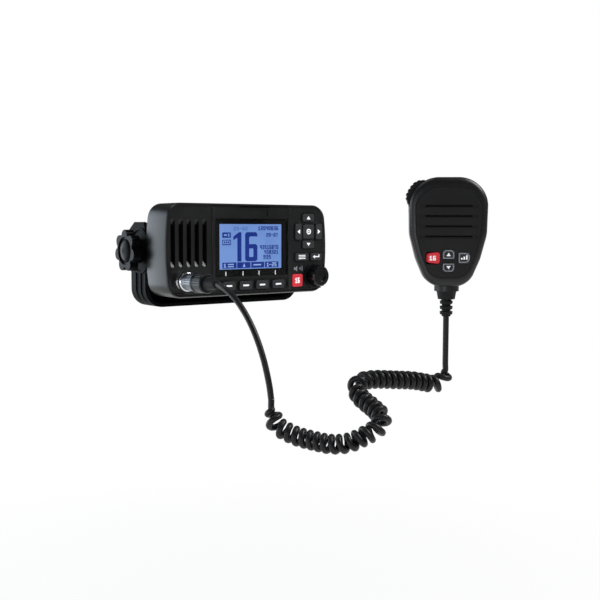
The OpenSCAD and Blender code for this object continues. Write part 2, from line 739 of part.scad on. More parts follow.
// The tight outline round pairs of circles, drawn in by some distance: in each
// direction the circle that reaches furthest gives the point
function egg(circles, inset) = [for (a = [egg_step / 2:egg_step:360])
    let (u = [cos(a), sin(a)],
         reach = [for (s = [-1, 1], c = circles) [s * c[0], c[1]] * u + c[2]],
         far = search(max(reach), reach)[0],
         pair = circles[far % len(circles)],
         side = far < len(circles) ? -1 : 1)
    [side * pair[0], pair[1]] + (pair[2] - inset) * u];

module mic_outline(inset) polygon(egg(mic_circles, inset));

// The outline of the inset face plate
module face_outline(grow) polygon(egg(face_circles, -grow));

// A ring sector about the corner that carries the talk switch
module talk_sector(r0, r1, a0, a1) {
    translate([-corner_c[0], corner_c[1]]) intersection() {
        difference() {
            circle(r1);
            circle(r0);
        }
        polygon([[0, 0], for (a = [a0, (a0 + a1) / 2, a1]) 60 * [cos(a), sin(a)]]);
    }
}

module talk_pocket() across(-8.4, 5.9)
    talk_sector(talk_r[0] - talk_travel - 0.4, 40, talk_angles[0] - 3.5, talk_angles[1] + 3.5);

// The space inside the microphone, away from the talk switch
module mic_cavity() difference() {
    mic_outline(3);
    talk_sector(16.6, 40, talk_angles[0] - 8, talk_angles[1] + 8);
    translate([-20, -60]) square([40, 20]);
}

// Layers of a rounded half: each has its place along Y, its thickness and its inset
module mic_half(layers) hull() for (l = layers)
    across(l[0], l[0] + l[1]) mic_outline(l[2]);

mic_screw_at = [[-21, -10.5], [21, -10.5], [-15.5, 28], [15.5, 28]];

module mic_bosses(y0, y1, r) for (p = mic_screw_at)
    translate([p[0], y0, p[1]]) rotate([-90, 0, 0]) cylinder(r = r, h = y1 - y0);

module mic_neck() translate([0, 0, -48.8]) cylinder(r = 10.2, h = 9);

module mic_front_shell() color("#1c1d1f") at_mic() difference() {
    union() {
        difference() {
            union() {
                mic_half([[-mic_half_t, 0.3, 4.4], [-12.5, 0.3, 2.8], [-11.8, 0.3, 1.6],
                          [-10.8, 0.3, 0.7], [-9.4, 0.3, 0.2], [-8, 8, 0]]);
                intersection() {
                    mic_neck();
                    translate([-20, -20, -60]) cube([40, 20, 30]);
                }
            }
            across(-9.8, 1) mic_cavity();
        }
        mic_bosses(-10, 0, 3.2);
    }
    across(-20, -11.8) face_outline(0.25);
    mic_bosses(-8, 1, 1.25);
    talk_pocket();
    for (k = mic_key_list) across(-20, -5) translate([k[1], k[2]])
        rounded(k[3] + 0.5, k[4] + 0.5, 2.4);
    for (z = louvre_zs) across(-20, -5) translate([0, z]) rounded(38, 1.4, 0.6);
}

module mic_back_shell() color("#1c1d1f") at_mic() difference() {
    union() {
        difference() {
            union() {
                mic_half([[0, 6, 0], [7.6, 0.3, 0.4], [9.4, 0.3, 1.4], [10.8, 0.3, 2.9],
                          [11.7, 0.3, 4.9], [12.2, 0.3, 7.4]]);
                intersection() {
                    mic_neck();
                    translate([-20, 0.05, -60]) cube([40, 20, 30]);
                }
            }
            across(-1, 10) mic_cavity();
        }
        mic_bosses(0.05, 10.4, 3.2);
    }
    mic_bosses(-1, 20, 1.25);
    mic_bosses(10.6, 20, 2.7);
    talk_pocket();
    translate([0, 9, stud_z]) rotate([-90, 0, 0]) cylinder(r = 2.05, h = 6);
}

module mic_face_plate() color("#232427") at_mic() difference() {
    across(-13.4, -11.8) face_outline(0);
    for (k = mic_key_list) across(-20, -5) translate([k[1], k[2]])
        rounded(k[3] + 0.5, k[4] + 0.5, 2.4);
    for (z = louvre_zs) {
        across(-20, -5) translate([0, z]) rounded(38, 1.4, 0.6);
        across(-20, -12.6) translate([0, z]) rounded(47.2, 3, 1.2);
    }
}

module mic_key(name) {
    k = mic_key_list[search([name], mic_key_list)[0]];
    across(-14.2, -9.3 + e) translate([k[1], k[2]]) rounded(k[3], k[4], 2.2);
    across(-9.3, -8.5) translate([k[1], k[2]]) rounded(k[3] + 1, k[4] + 1, 2.2);
}

module mic_key_mat() color("#4a4b4d") at_mic() across(-7.3, -6.3)
    translate([0, -23]) rounded(36.4, 20, 3);

module mic_grille_cloth() color("#101011") at_mic() across(-9.75, -9.4)
    translate([0, 8.8]) rounded(41, 31, 3);

module mic_board() color("#1f5a36") at_mic() across(-6.3, -4.7)
    translate([0, -4]) rounded(26, 58, 3);

module mic_capsule() color("#8d8f92") at_mic() translate([0, -9.3, 8.8])
    rotate([-90, 0, 0]) cylinder(r = 8, h = 3);

module mic_hang_stud() color("#b9bcc0") at_mic() translate([0, 0, stud_z])
    rotate([-90, 0, 0]) rotate_extrude() polygon([
        [0, 9], [2, 9], [2, 12.5], [6.2, 12.5], [6.2, 13.4], [stud_neck_r, 13.6],
        [stud_neck_r, 17.4], [7.4, 17.6], [7.4, 19], [6.4, 19.8], [0, 20]
    ]);

module mic_screws() color("#2a2a2b") at_mic() for (p = mic_screw_at)
    translate([p[0], 0, p[1]]) rotate([-90, 0, 0]) rotate_extrude()
        polygon([[0, -5], [1.2, -5], [1.2, 10.6], [2.5, 10.6], [2.5, 11.6], [0, 12.2]]);

module talk_switch() color("#171718") at_mic() across(-8, 5.5) difference() {
    talk_sector(talk_r[0], talk_r[1], talk_angles[0], talk_angles[1]);
    for (i = [0:6]) translate([-corner_c[0], corner_c[1]])
        rotate(talk_angles[0] + 6 + i * 7.6) translate([talk_r[1] + 0.3, 0])
            circle(1.1, $fn = 16);
}

// Strain relief: a tapered collar, then rings that bend with the cord
module mic_strain_relief() color("#131313") translate(mic_pos) rotate_extrude()
    polygon([
        [0, -48.8], [8.6, -48.8], [8, -50], [7, -55.6], [4.2, -55.8], [4.2, -57],
        for (i = [0:2]) each [[5.4, -57 - i * 4.4], [5.1, -59.6 - i * 4.4],
                              [3.7, -59.8 - i * 4.4], [3.7, -61.2 - i * 4.4]],
        [3.4, lead_top_z], [0, lead_top_z]
    ]);

// Hanger: a slotted plate in front of the stud's head, side walls and a back plate
module mic_hanger() color("#2e2f31") at_mic() difference() {
    union() {
        across(14, 14 + hanger_t) translate([0, 21]) rounded(26, 32, 3);
        across(21.4, 21.4 + hanger_t) translate([0, 15.5]) rounded(28, 45, 4);
        for (s = [-1, 1]) across(14, 22) translate([s * 11.8, 19.5]) square([2.4, 23], center = true);
        across(14, 22) translate([0, 7.2]) square([20, 4], center = true);
    }
    across(13, 18) {
        translate([0, stud_z]) circle(stud_neck_r + 0.3);
        translate([-stud_neck_r - 0.3, stud_z]) square([2 * stud_neck_r + 0.6, 30]);
    }
    for (z = hanger_zs) translate([0, 20, z]) rotate([-90, 0, 0])
        cylinder(r = hanger_hole_r, h = 6);
}

// ---------------------------------------------------------------- assembly

front_bezel();
bezel_gasket();
chassis();
case_screws();
pivot_inserts();
friction_washers();
antenna_socket();
cable_glands();
screen_window();
lcd_panel();
lcd_frame();
speaker_gasket();
speaker_driver();
keypad_mat();
main_board();
for (k = keys) color(k[0] == "key_red" ? "#c8202a" : "#2a2b2e") key(k[0]);
encoder_body();
encoder_shaft();
volume_knob();
gimbal_bracket();
color("#1d1e20") gimbal_knob(-1);  // gimbal_knob_left
color("#1d1e20") gimbal_knob(1);  // gimbal_knob_right
color("#b9bcc0") knob_stud(-1);  // knob_stud_left
color("#b9bcc0") knob_stud(1);  // knob_stud_right
mic_socket();
plug_ring();
plug_barrel();
plug_sleeve();
plug_boot();
plug_lead();
curly_cord();
mic_lead();
mic_strain_relief();
mic_front_shell();
mic_back_shell();
mic_face_plate();
mic_key_mat();
mic_grille_cloth();
mic_board();
mic_capsule();
mic_hang_stud();
mic_screws();
talk_switch();
for (k = mic_key_list) color(k[0] == "mic_key_red" ? "#c8202a" : "#2a2b2e") at_mic() mic_key(k[0]);
mic_hanger();
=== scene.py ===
"""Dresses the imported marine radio: its housing, screen, keys, plug, curly cord,
hand microphone and brackets, with a camera, soft lamps and a pale backdrop.
Sizes below are in millimetres unless a name says otherwise; Blender's are metres."""

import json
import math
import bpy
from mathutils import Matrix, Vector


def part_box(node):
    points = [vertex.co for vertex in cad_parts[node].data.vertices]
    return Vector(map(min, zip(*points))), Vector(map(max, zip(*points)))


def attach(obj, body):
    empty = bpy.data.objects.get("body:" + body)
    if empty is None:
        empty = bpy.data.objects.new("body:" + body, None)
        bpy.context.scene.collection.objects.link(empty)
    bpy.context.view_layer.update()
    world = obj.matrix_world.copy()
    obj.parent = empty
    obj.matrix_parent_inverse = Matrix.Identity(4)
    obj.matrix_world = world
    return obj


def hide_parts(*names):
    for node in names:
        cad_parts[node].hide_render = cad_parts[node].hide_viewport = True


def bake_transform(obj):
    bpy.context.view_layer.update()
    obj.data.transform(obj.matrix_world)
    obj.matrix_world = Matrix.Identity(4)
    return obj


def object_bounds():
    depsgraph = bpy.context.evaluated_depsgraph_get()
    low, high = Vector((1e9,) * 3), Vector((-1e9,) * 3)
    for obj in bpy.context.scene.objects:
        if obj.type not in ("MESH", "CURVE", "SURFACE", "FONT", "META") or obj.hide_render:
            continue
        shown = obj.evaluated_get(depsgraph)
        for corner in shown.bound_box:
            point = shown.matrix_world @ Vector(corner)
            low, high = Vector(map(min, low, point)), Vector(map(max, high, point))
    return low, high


bl_info = {
    "name": "Marine Radio Finisher",
    "version": (1, 0, 0),
    "blender": (4, 5, 0),
    "location": "View3D > Sidebar > Marine Radio",
    "description": "Finishes a fixed-mount marine radio with its hand microphone",
    "category": "Object",
}

import bmesh
import bpy
from mathutils import Matrix, Vector

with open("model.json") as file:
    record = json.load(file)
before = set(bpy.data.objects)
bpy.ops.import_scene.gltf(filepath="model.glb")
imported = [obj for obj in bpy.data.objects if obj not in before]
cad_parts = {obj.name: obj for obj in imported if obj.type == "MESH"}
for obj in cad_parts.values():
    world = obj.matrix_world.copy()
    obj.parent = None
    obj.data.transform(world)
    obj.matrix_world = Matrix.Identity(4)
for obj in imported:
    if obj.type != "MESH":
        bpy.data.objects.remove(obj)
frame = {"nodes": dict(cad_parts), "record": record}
CAD_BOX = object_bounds()
NODES = frame["nodes"]
MM = 0.001


def middle(node):
    """The middle of a CAD node's box, in millimetres."""
    lo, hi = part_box(node)
    return [(a + b) / 2 / MM for a, b in zip(lo, hi)]


# ---------------------------------------------------------------- sizes and places

# The front's drawings are measured from a corner that lies left of the screen's middle
# and below it, and the screen's own picture from another
SCREEN_IN_PANEL = (87.4, 42.5)
SCREEN_IN_PICTURE = (85.6, 42.5)
PANEL_LEFT = middle("lcd_panel")[0] - SCREEN_IN_PANEL[0]
PANEL_FOOT = middle("lcd_panel")[2] - SCREEN_IN_PANEL[1]

# The front's layers in Y: the rim, the panel inside it, the window, and on the screen its
# picture, the segments over it and the glyphs over those, with the thickness of their
# films and of the ink behind the window
RIM_OVER_WINDOW = 1.1
RIM_OVER_PANEL = 1.0
WINDOW_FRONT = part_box("screen_window")[0][1] / MM
WINDOW_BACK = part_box("screen_window")[1][1] / MM
RIM_Y = WINDOW_FRONT - RIM_OVER_WINDOW
PANEL_Y = RIM_Y + RIM_OVER_PANEL
LCD_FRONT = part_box("lcd_panel")[0][1] / MM
PICTURE_Y = LCD_FRONT - 0.04
SEGMENTS_Y = LCD_FRONT - 0.1
GLYPHS_Y = LCD_FRONT - 0.16
FILM_THICK = 0.06
BORDER_INK = 0.025

# How deep a print starts in the surface that carries it, and the ticks in the window
PRINT_SINK = 0.02
TICK_SINK = 0.03

# The bezel's outline: half its size, its corners' radius and the bow of its two ends
BEZEL_HALF_W = 87.0
BEZEL_HALF_H = 40.8
CORNER_R = 14.0
BOW_R = 240.0
BEZEL_Z = 51.5

# Each ring of the rim: its inset and depth in the solid, and where the mould has them.
# Below them is how near to a ring a point of the solid lies
RIM_RINGS = (((0.0, 0.8), (0.0, 1.8)), ((1.6, 0.0), (1.7, 0.0)), ((1.6, 1.0), (2.35, 1.0)))
RING_NEAR_INSET, RING_NEAR_DEPTH = 0.06, 0.03

# The sound slots: how many, the first one's middle, their step, half a slot's size, and
# the ramp at each end, with its depths and the foot that lies hidden in the bezel
SLOTS = 5
SLOT_AT = (5.8, 46.4)
SLOT_STEP = 7.85
SLOT_HALF_W = 2.15
SLOT_HALF_H = 20.7
RAMP_LENGTH = 4.8
RAMP_DEEP = 2.7
RAMP_SHALLOW = 0.12
RAMP_FOOT = 3.1

# The two upright ridges beside the screen: their places and size, and their broad bevel
RIDGE_XS = {"left": 46.2, "right": 129.0}
RIDGE_SIZE = (3.2, 1.3, 75.6)
RIDGE_Y = RIM_Y + 0.7
RIDGE_Z = PANEL_FOOT + 40
RIDGE_BEVEL = 1.0

# The bracket's rear lip, between the inner sides of the base's two bends: the bends'
# radius and middle, and the lip's top, foot, front and thickness
BEND_INNER_R = 13.1
BEND_AT = (67.0, 16.0)
LIP_TOP = 15.0
LIP_FOOT = 2.9
LIP_FRONT = 15.4
LIP_THICK = 2.7

# The microphone's own frame: x right, y to its back, z up
MIC_PLACE = (Matrix.Translation((93 * MM, -205 * MM, 68 * MM))
             @ Matrix.Rotation(math.radians(-41), 4, "Z"))
MIC_KEY_FRONT = -14.2

# The corner that the talk switch goes round, the angles between which it does so, the
# shell's radius there, and the angle over which the switch runs out
TALK_CORNER = (-8.0, 20.7)
TALK_FROM, TALK_TO = 118.0, 176.0
SHELL_R = 24.4
TALK_RUN_OUT = 20.0

# The microphone's red key: its middle and half its size, how far it moves to the right,
# what it keeps of its size, and how much of its height it loses at its left end
RED_KEY = (-12.6, -21.2)
RED_KEY_HALF = 4.4
RED_KEY_SHIFT = 0.4
RED_KEY_SHARE = 0.88
RED_KEY_TAPER = 0.2

# The middles of the microphone's keys, and what a frame round a key leaves open, of its
# width and of its height
MIC_KEY_MIDDLES = {"mic_key_up": (0, -18.2), "mic_key_down": (0, -28.9),
                   "mic_key_side": (12.6, -21), "mic_key_red": RED_KEY}
FRAME_OPEN = (0.78, 0.75)

# Keys with a black cap
PANEL_KEYS = ["soft_key_1", "soft_key_2", "soft_key_3", "soft_key_4", "key_up", "key_down",
              "key_left", "key_right", "key_ok", "key_menu", "key_back"]
MIC_KEYS = ["mic_key_up", "mic_key_down", "mic_key_side"]

# Routes of the cord, as the solids follow them, and the steps along its two leads
BOOT_END = (-70.4, -108, 25.3)
PLUG_ROUTE = [
    (-70.4, -109, 25.3), (-70.4, -113, 24.8), (-69.5, -121, 21.5),
    (-67, -131.4, 14), (-64.8, -143.6, 1), (-63.2, -153.7, -14),
    (-61.8, -161.5, -31), (-61.1, -167.2, -48), (-61, -170, -60),
]
CURL_ROUTE = [
    (-61, -170, -60), (-61.8, -171.8, -69.5), (-60, -176.5, -79), (-52.5, -188, -85.5),
    (-44, -202.5, -88.5), (-37, -215, -89.5), (-29.5, -225, -87.5), (-20.5, -232, -82.5),
    (-10, -235, -77), (-1.5, -230, -71.5), (1.2, -217.5, -66.5), (1.2, -204, -61),
    (4.5, -193.5, -55), (13.5, -189.5, -51.2), (26, -191, -50.4),
    (46, -195.5, -52.2), (62, -198.6, -54), (74, -201.1, -56.6), (82.3, -202.8, -58.2),
    (89.8, -204.3, -55.6), (93, -205, -48.5), (93, -205, -41),
]
MIC_LEAD_TOP = (93, -205, -2)
LEAD_STEPS = 43
MIC_LEAD_STEPS = 12

# The cord's diameter, the curls' outside diameter, the gap between two curls and the
# points in each. The curls start past a short straight lead, toward a side, and open over
# a length. Their step grows with the route's bend, up to a share. The bend is measured
# over some of the fine steps that divide the route
CORD_D = 5.0
CURL_D = 15.6
CURL_GAP = 0.6
CURL_STEPS = 20
CURL_START = CORD_D + 1
CURL_OPENS = 7
CURL_UP = (0.6, 0.8, 0)
FINE_STEPS = 30
BEND_STEPS = 14
BEND_GROWS = 1.2
MOST_GROWTH = 0.5

# Camera: where it stood for the photograph, and how it looked at the radio
CAMERA_PLACE = (-456.8, -724.9, 71.8)
CAMERA_YAW = 37.34
CAMERA_PITCH = -4.635
CAMERA_ROLL = 0.127
CAMERA_LENS = 54.0

# The floor's side in metres, the point that the lamps face, and each lamp: its name, its
# place and its square's side in metres, its brightness against white, and its colour
FLOOR_SIDE = 6
LAMP_AIM = (10, -90, 40)
LAMPS = [
    ("back_left_softbox", (-0.72, 0.92, 0.12), 1.1, 2.6, "#e2f1ff"),
    ("top_right_softbox", (0.55, -0.62, 0.78), 0.5, 12.0, "#ffffff"),
    ("top_softbox", (-0.2, 0.3, 1.2), 0.7, 1.6, "#ffffff"),
    ("left_strip", (-1.2, -0.78, 0.05), 0.35, 6.0, "#f4f8ff"),
]

# What the room sends to diffuse surfaces, to mirrors that face its dark front wall, and
# to mirrors that face its ceiling
ROOM_LIGHT = 0.35
DARK_WALL = 0.08
DARK_CEILING = 0.05

# Merging a solid's triangles: how near points are one point, in metres, how flat faces
# are one face, and how many corners a face has at most before it is cut up
WELD = 2e-6
FLAT_DEGREES = 0.6
MANY_CORNERS = 40

# An edge that turns by more degrees than this is rounded or stays sharp: on most pieces,
# on the microphone's shell and the pieces made here, and on a cord
CREASE = 32
BROAD_CREASE = 40
CORD_CREASE = 50

# Steps in a quarter of a round corner and in a disc, and in the arcs of slot and lip
CORNER_STEPS = 5
DISC_STEPS = 24
SLOT_ARC_STEPS = 9
LIP_ARC_STEPS = 8

# The small digits' screen dots. An ink dot is this much of its row high and spreads
# sideways by a share of its width
DOT_HIGH = 0.98
DOT_SPREAD = 0.12
SMALL_DIGITS = {
    "0": ("111", "101", "101", "101", "111"), "1": ("010", "110", "010", "010", "111"),
    "2": ("111", "001", "111", "100", "111"), "3": ("111", "001", "111", "001", "111"),
    "4": ("101", "101", "111", "001", "001"), "5": ("111", "100", "111", "001", "111"),
    "6": ("111", "100", "111", "101", "111"), "7": ("111", "001", "010", "010", "010"),
    "8": ("111", "101", "111", "101", "111"), "9": ("111", "101", "111", "001", "111"),
    "-": ("000", "000", "111", "000", "000"),
}


def linear(colour, scale=1.0):
    """The linear colour that shaders use, darker or lighter. It starts from an sRGB hex
    value, or from a setting's colour, which is linear already."""
    if isinstance(colour, str):
        parts = [int(colour[i:i + 2], 16) / 255 for i in (1, 3, 5)]
        colour = [p / 12.92 if p <= 0.04045 else ((p + 0.055) / 1.055) ** 2.4 for p in parts]
    return tuple(min(1.0, scale * part) for part in colour[:3]) + (1.0,)


WHITE = linear("#ffffff")


# ---------------------------------------------------------------- settings

class RadioFinish(bpy.types.PropertyGroup):
    """Roundings and colours of the radio and its brackets."""

    edge_round: bpy.props.FloatProperty(
        name="Edge round", description="Radius on the moulded housing's edges",
        default=0.45 * MM, unit="LENGTH")
    key_round: bpy.props.FloatProperty(
        name="Key round", description="Radius on the key caps' front edges",
        default=0.6 * MM, unit="LENGTH")
    casting_round: bpy.props.FloatProperty(
        name="Casting round", description="Radius on the bracket's and chassis's edges",
        default=0.5 * MM, unit="LENGTH")
    print_height: bpy.props.FloatProperty(
        name="Print height", description="How far printed marks stand proud",
        default=0.05 * MM, unit="LENGTH")
    screen_glow: bpy.props.FloatProperty(
        name="Screen glow", description="Strength of the lit screen", default=0.95,
        subtype="FACTOR")
    housing_colour: bpy.props.FloatVectorProperty(
        name="Housing colour", description="Colour of the moulded housing",
        default=linear("#0c0d0f")[:3], subtype="COLOR")
    key_colour: bpy.props.FloatVectorProperty(
        name="Key colour", description="Colour of the dark key caps",
        default=linear("#2a2c2f")[:3], subtype="COLOR")
    red_colour: bpy.props.FloatVectorProperty(
        name="Red key colour", description="Colour of the two red key caps",
        default=linear("#c8303a")[:3], subtype="COLOR")


class StageFinish(bpy.types.PropertyGroup):
    """The backdrop and the lamps."""

    floor_drop: bpy.props.FloatProperty(
        name="Floor drop", description="How far the floor lies under the object",
        default=0.3, unit="LENGTH")
    lamp_level: bpy.props.FloatProperty(
        name="Lamp level", description="Share of the lamps' power", default=1.0,
        subtype="FACTOR")


# ---------------------------------------------------------------- materials

# How far apart the faint clouds in a surface's colour and gloss are, and in a lit film
CLOUD_MM = 24
FILM_CLOUD_MM = 30


def add_node(tree, kind, inputs=(), **settings):
    """Adds a node, sets its properties, and sets or links its inputs."""
    made = tree.nodes.new(kind)
    for name, value in settings.items():
        setattr(made, name, value)
    for name, value in dict(inputs).items():
        if isinstance(value, bpy.types.NodeSocket):
            tree.links.new(value, made.inputs[name])
        else:
            made.inputs[name].default_value = value
    return made


def start_material(name):
    """An empty node material, or None if it's there already."""
    if name in bpy.data.materials:
        return None
    made = bpy.data.materials.new(name)
    made.use_nodes = True
    made.node_tree.nodes.clear()
    return made


def finished(name, colour, roughness, grain_mm, grain_depth_mm, mottle=0.12,
             metallic=0.0, ior=1.5, glow=0.0, gloss_spread=0.08):
    """A surface with a fine grain in its relief and faint clouds in its colour and gloss.
    A grain finer than 0.3 mm wouldn't show, so none is drawn finer than that."""
    made = start_material(name)
    if made is None:
        return bpy.data.materials[name]
    tree = made.node_tree
    where = add_node(tree, "ShaderNodeTexCoord").outputs["Object"]
    grain = add_node(tree, "ShaderNodeTexNoise", {
        "Vector": where, "Scale": 1 / (grain_mm * MM), "Detail": 3.0, "Roughness": 0.6})
    cloud = add_node(tree, "ShaderNodeTexNoise", {
        "Vector": where, "Scale": 1 / (CLOUD_MM * MM), "Detail": 4.0})
    tint = add_node(tree, "ShaderNodeValToRGB", {"Fac": cloud.outputs["Fac"]})
    tint.color_ramp.elements[0].color = linear(colour, 1 - mottle)
    tint.color_ramp.elements[1].color = linear(colour, 1 + mottle)
    shine = add_node(tree, "ShaderNodeMapRange", {
        "Value": cloud.outputs["Fac"], "To Min": roughness - gloss_spread,
        "To Max": roughness + gloss_spread})
    relief = add_node(tree, "ShaderNodeBump", {
        "Height": grain.outputs["Fac"], "Strength": 0.5, "Distance": grain_depth_mm * MM})
    shader = add_node(tree, "ShaderNodeBsdfPrincipled", {
        "Base Color": tint.outputs["Color"], "Roughness": shine.outputs["Result"],
        "Metallic": metallic, "IOR": ior, "Normal": relief.outputs["Normal"],
        "Emission Color": linear(colour), "Emission Strength": glow})
    add_node(tree, "ShaderNodeOutputMaterial", {"Surface": shader.outputs["BSDF"]})
    return made


def housing_abs(colour):
    """ABS moulded in a spark-eroded tool: a fine satin grain that catches soft light."""
    return finished("moulded_abs_housing", colour, 0.36, 0.5, 0.03, ior=1.48)


def keycap_silicone(colour):
    """Moulded silicone rubber key: softer and a little paler than the housing."""
    return finished("silicone_keycap", colour, 0.5, 0.4, 0.012, ior=1.42)


def red_silicone(colour):
    """Translucent red silicone key with a lamp behind it: it glows a little."""
    return finished("red_silicone_keycap", colour, 0.42, 0.4, 0.008, ior=1.42, glow=0.3)


def bracket_nylon():
    """Glass-filled nylon, moulded: a coarse matt black."""
    return finished("glass_filled_nylon", "#0b0c0e", 0.5, 0.6, 0.04, ior=1.12)


def coated_casting():
    """Die-cast aluminium, powder coated: matt black with a slight orange peel."""
    return finished("powder_coated_casting", "#111214", 0.48, 0.9, 0.03, ior=1.34)


def volume_rubber():
    """Glossy black elastomer over the volume knob: it catches a small highlight."""
    return finished("glossy_elastomer_knob", "#0d0e10", 0.24, 0.5, 0.01, ior=1.45)


def knob_nylon():
    """Moulded nylon knob, handled smooth: a narrow, dim highlight."""
    return finished("moulded_nylon_knob", "#0b0c0e", 0.26, 0.5, 0.015, ior=1.14)


def mic_housing():
    """PC-ABS hand microphone shell: smoother and shinier than the radio's housing."""
    return finished("moulded_pc_abs_microphone", "#101012", 0.38, 0.4, 0.005, ior=1.48)


def cord_pvc():
    """PVC cord jacket: extruded smooth, with a soft shine."""
    return finished("extruded_pvc_cord", "#141416", 0.42, 0.7, 0.01, ior=1.38)


def soft_tpe():
    """Moulded thermoplastic rubber: matt black that swallows light."""
    return finished("moulded_tpe_rubber", "#0d0e0f", 0.6, 0.4, 0.02, ior=1.35)


def chrome_plate():
    """Bright chrome on turned brass: it mirrors the room."""
    return finished("bright_chrome_plate", "#d6d8dc", 0.14, 0.5, 0.002, metallic=1.0,
                    mottle=0.03, gloss_spread=0.04)


def nickel_plate():
    """Satin nickel, as on the plug's knurled barrel: grey with soft highlights."""
    return finished("satin_nickel_plate", "#74767a", 0.36, 0.4, 0.01, metallic=1.0)


def black_anodised():
    """Black anodised aluminium sleeve: dark, with a metallic edge."""
    return finished("black_anodised_aluminium", "#17181b", 0.36, 0.4, 0.008, metallic=0.4)


def stainless():
    """Turned stainless steel screws and studs: a pale, slightly blurred mirror."""
    return finished("stainless_steel", "#a9acb0", 0.3, 0.4, 0.006, metallic=1.0)


def brass():
    """Machined brass: a yellow, slightly blurred mirror."""
    return finished("machined_brass", "#b08d4f", 0.3, 0.4, 0.006, metallic=1.0)


def circuit_board():
    """Green solder resist over glass-fibre laminate: a smooth satin green."""
    return finished("solder_resist_board", "#1f5a36", 0.4, 0.8, 0.01)


def speaker_paper():
    """Pressed paper cone and pressed steel basket, painted: a dull dark grey."""
    return finished("pressed_speaker_paper", "#26272a", 0.6, 0.5, 0.03)


def printed_white():
    """White legend, lit from behind through the key."""
    return finished("backlit_white_legend", "#e9ebee", 0.5, 0.3, 0.004, mottle=0.04, glow=0.45)


def printed_grey():
    """Screen-printed grey ink: flat and even."""
    return finished("screen_printed_grey", "#8d9197", 0.5, 0.3, 0.004, mottle=0.04)


def gloss_black():
    """Black ink printed on the window's back: deep, seen through the gloss."""
    return finished("back_printed_border", "#08090b", 0.4, 0.5, 0.0, mottle=0.03, ior=1.2,
                    gloss_spread=0.02)


def grille_cloth():
    """Woven acoustic cloth behind the louvres: dull black."""
    return finished("woven_acoustic_cloth", "#0c0c0d", 0.8, 0.6, 0.05, ior=1.4)


def window_acrylic():
    """Clear cast acrylic: it lets everything through and mirrors a little."""
    made = start_material("clear_acrylic_window")
    if made is None:
        return bpy.data.materials["clear_acrylic_window"]
    tree = made.node_tree
    clear = add_node(tree, "ShaderNodeBsdfTransparent", {"Color": WHITE})
    mirror = add_node(tree, "ShaderNodeBsdfGlossy", {"Roughness": 0.03})
    # The share that mirrors grows toward a grazing view alike on both faces
    facing = add_node(tree, "ShaderNodeLayerWeight", {"Blend": 0.5}).outputs["Facing"]
    steep = add_node(tree, "ShaderNodeMath", {0: facing, 1: 5.0}, operation="POWER")
    share = add_node(tree, "ShaderNodeMapRange", {"Value": steep.outputs["Value"],
                                                  "To Min": 0.04, "To Max": 0.9})
    both = add_node(tree, "ShaderNodeMixShader", {"Fac": share.outputs["Result"]})
    tree.links.new(clear.outputs["BSDF"], both.inputs[1])
    tree.links.new(mirror.outputs["BSDF"], both.inputs[2])
    add_node(tree, "ShaderNodeOutputMaterial", {"Surface": both.outputs["Shader"]})
    return made


def lit_film(name, colour, bright_colour, strength):
    """Backlit film: it glows, a little brighter in patches, under a dark gloss."""
    made = start_material(name)
    if made is None:
        return bpy.data.materials[name]
    tree = made.node_tree
    where = add_node(tree, "ShaderNodeTexCoord").outputs["Object"]
    cloud = add_node(tree, "ShaderNodeTexNoise", {
        "Vector": where, "Scale": 1 / (FILM_CLOUD_MM * MM), "Detail": 2.0})
    tint = add_node(tree, "ShaderNodeValToRGB", {"Fac": cloud.outputs["Fac"]})
    tint.color_ramp.elements[0].position = 0.3
    tint.color_ramp.elements[0].color = linear(colour)
    tint.color_ramp.elements[1].position = 0.75
    tint.color_ramp.elements[1].color = linear(bright_colour)
    shader = add_node(tree, "ShaderNodeBsdfPrincipled", {
        "Base Color": linear("#192130"), "Roughness": 0.2, "IOR": 1.1,
        "Emission Color": tint.outputs["Color"], "Emission Strength": strength})
    add_node(tree, "ShaderNodeOutputMaterial", {"Surface": shader.outputs["BSDF"]})
    return made


# ---------------------------------------------------------------- pieces

def new_piece(name, mesh, material, body, replaces=()):
    """Puts a finished mesh in the scene, on its body and with its material."""
    mesh.name = name
    piece = bpy.data.objects.new(name, mesh)
    bpy.context.scene.collection.objects.link(piece)
    mesh.materials.clear()
    mesh.materials.append(material)
    if body:
        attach(piece, body)
    if replaces:
        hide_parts(*replaces)
    return piece


def body_of_node(node):
    """The body that a CAD node belongs to."""
    bodies = frame["record"]["behaviour"]["bodies"]
    return next(body for body, nodes in bodies.items() if node in nodes)


def dress(node, material):
    """Gives a CAD node that stays as it is its finish."""
    for place in NODES[node].material_slots:
        place.material = material


def merged_copy(node, reshape):
    """The mesh of a CAD node, reshaped if asked, with its triangles merged into faces."""
    work = bmesh.new()
    work.from_mesh(NODES[node].data)
    bmesh.ops.remove_doubles(work, verts=work.verts, dist=WELD)
    if reshape:
        reshape(work)
    bmesh.ops.dissolve_limit(work, angle_limit=math.radians(FLAT_DEGREES),
                             use_dissolve_boundaries=False, verts=work.verts, edges=work.edges)
    # A large face with holes is cut up, because its bevel could spread over a hole
    bmesh.ops.connect_verts_concave(
        work, faces=[face for face in work.faces if len(face.verts) > MANY_CORNERS])
    return work


def mesh_from(work, crease):
    """Ends a bmesh as a smooth mesh whose edges stay sharp past an angle in degrees."""
    limit = math.radians(crease)
    for face in work.faces:
        face.smooth = True
    for edge in work.edges:
        edge.smooth = len(edge.link_faces) == 2 and edge.calc_face_angle(0.0) < limit
    mesh = bpy.data.meshes.new("mesh")
    work.to_mesh(mesh)
    work.free()
    return mesh


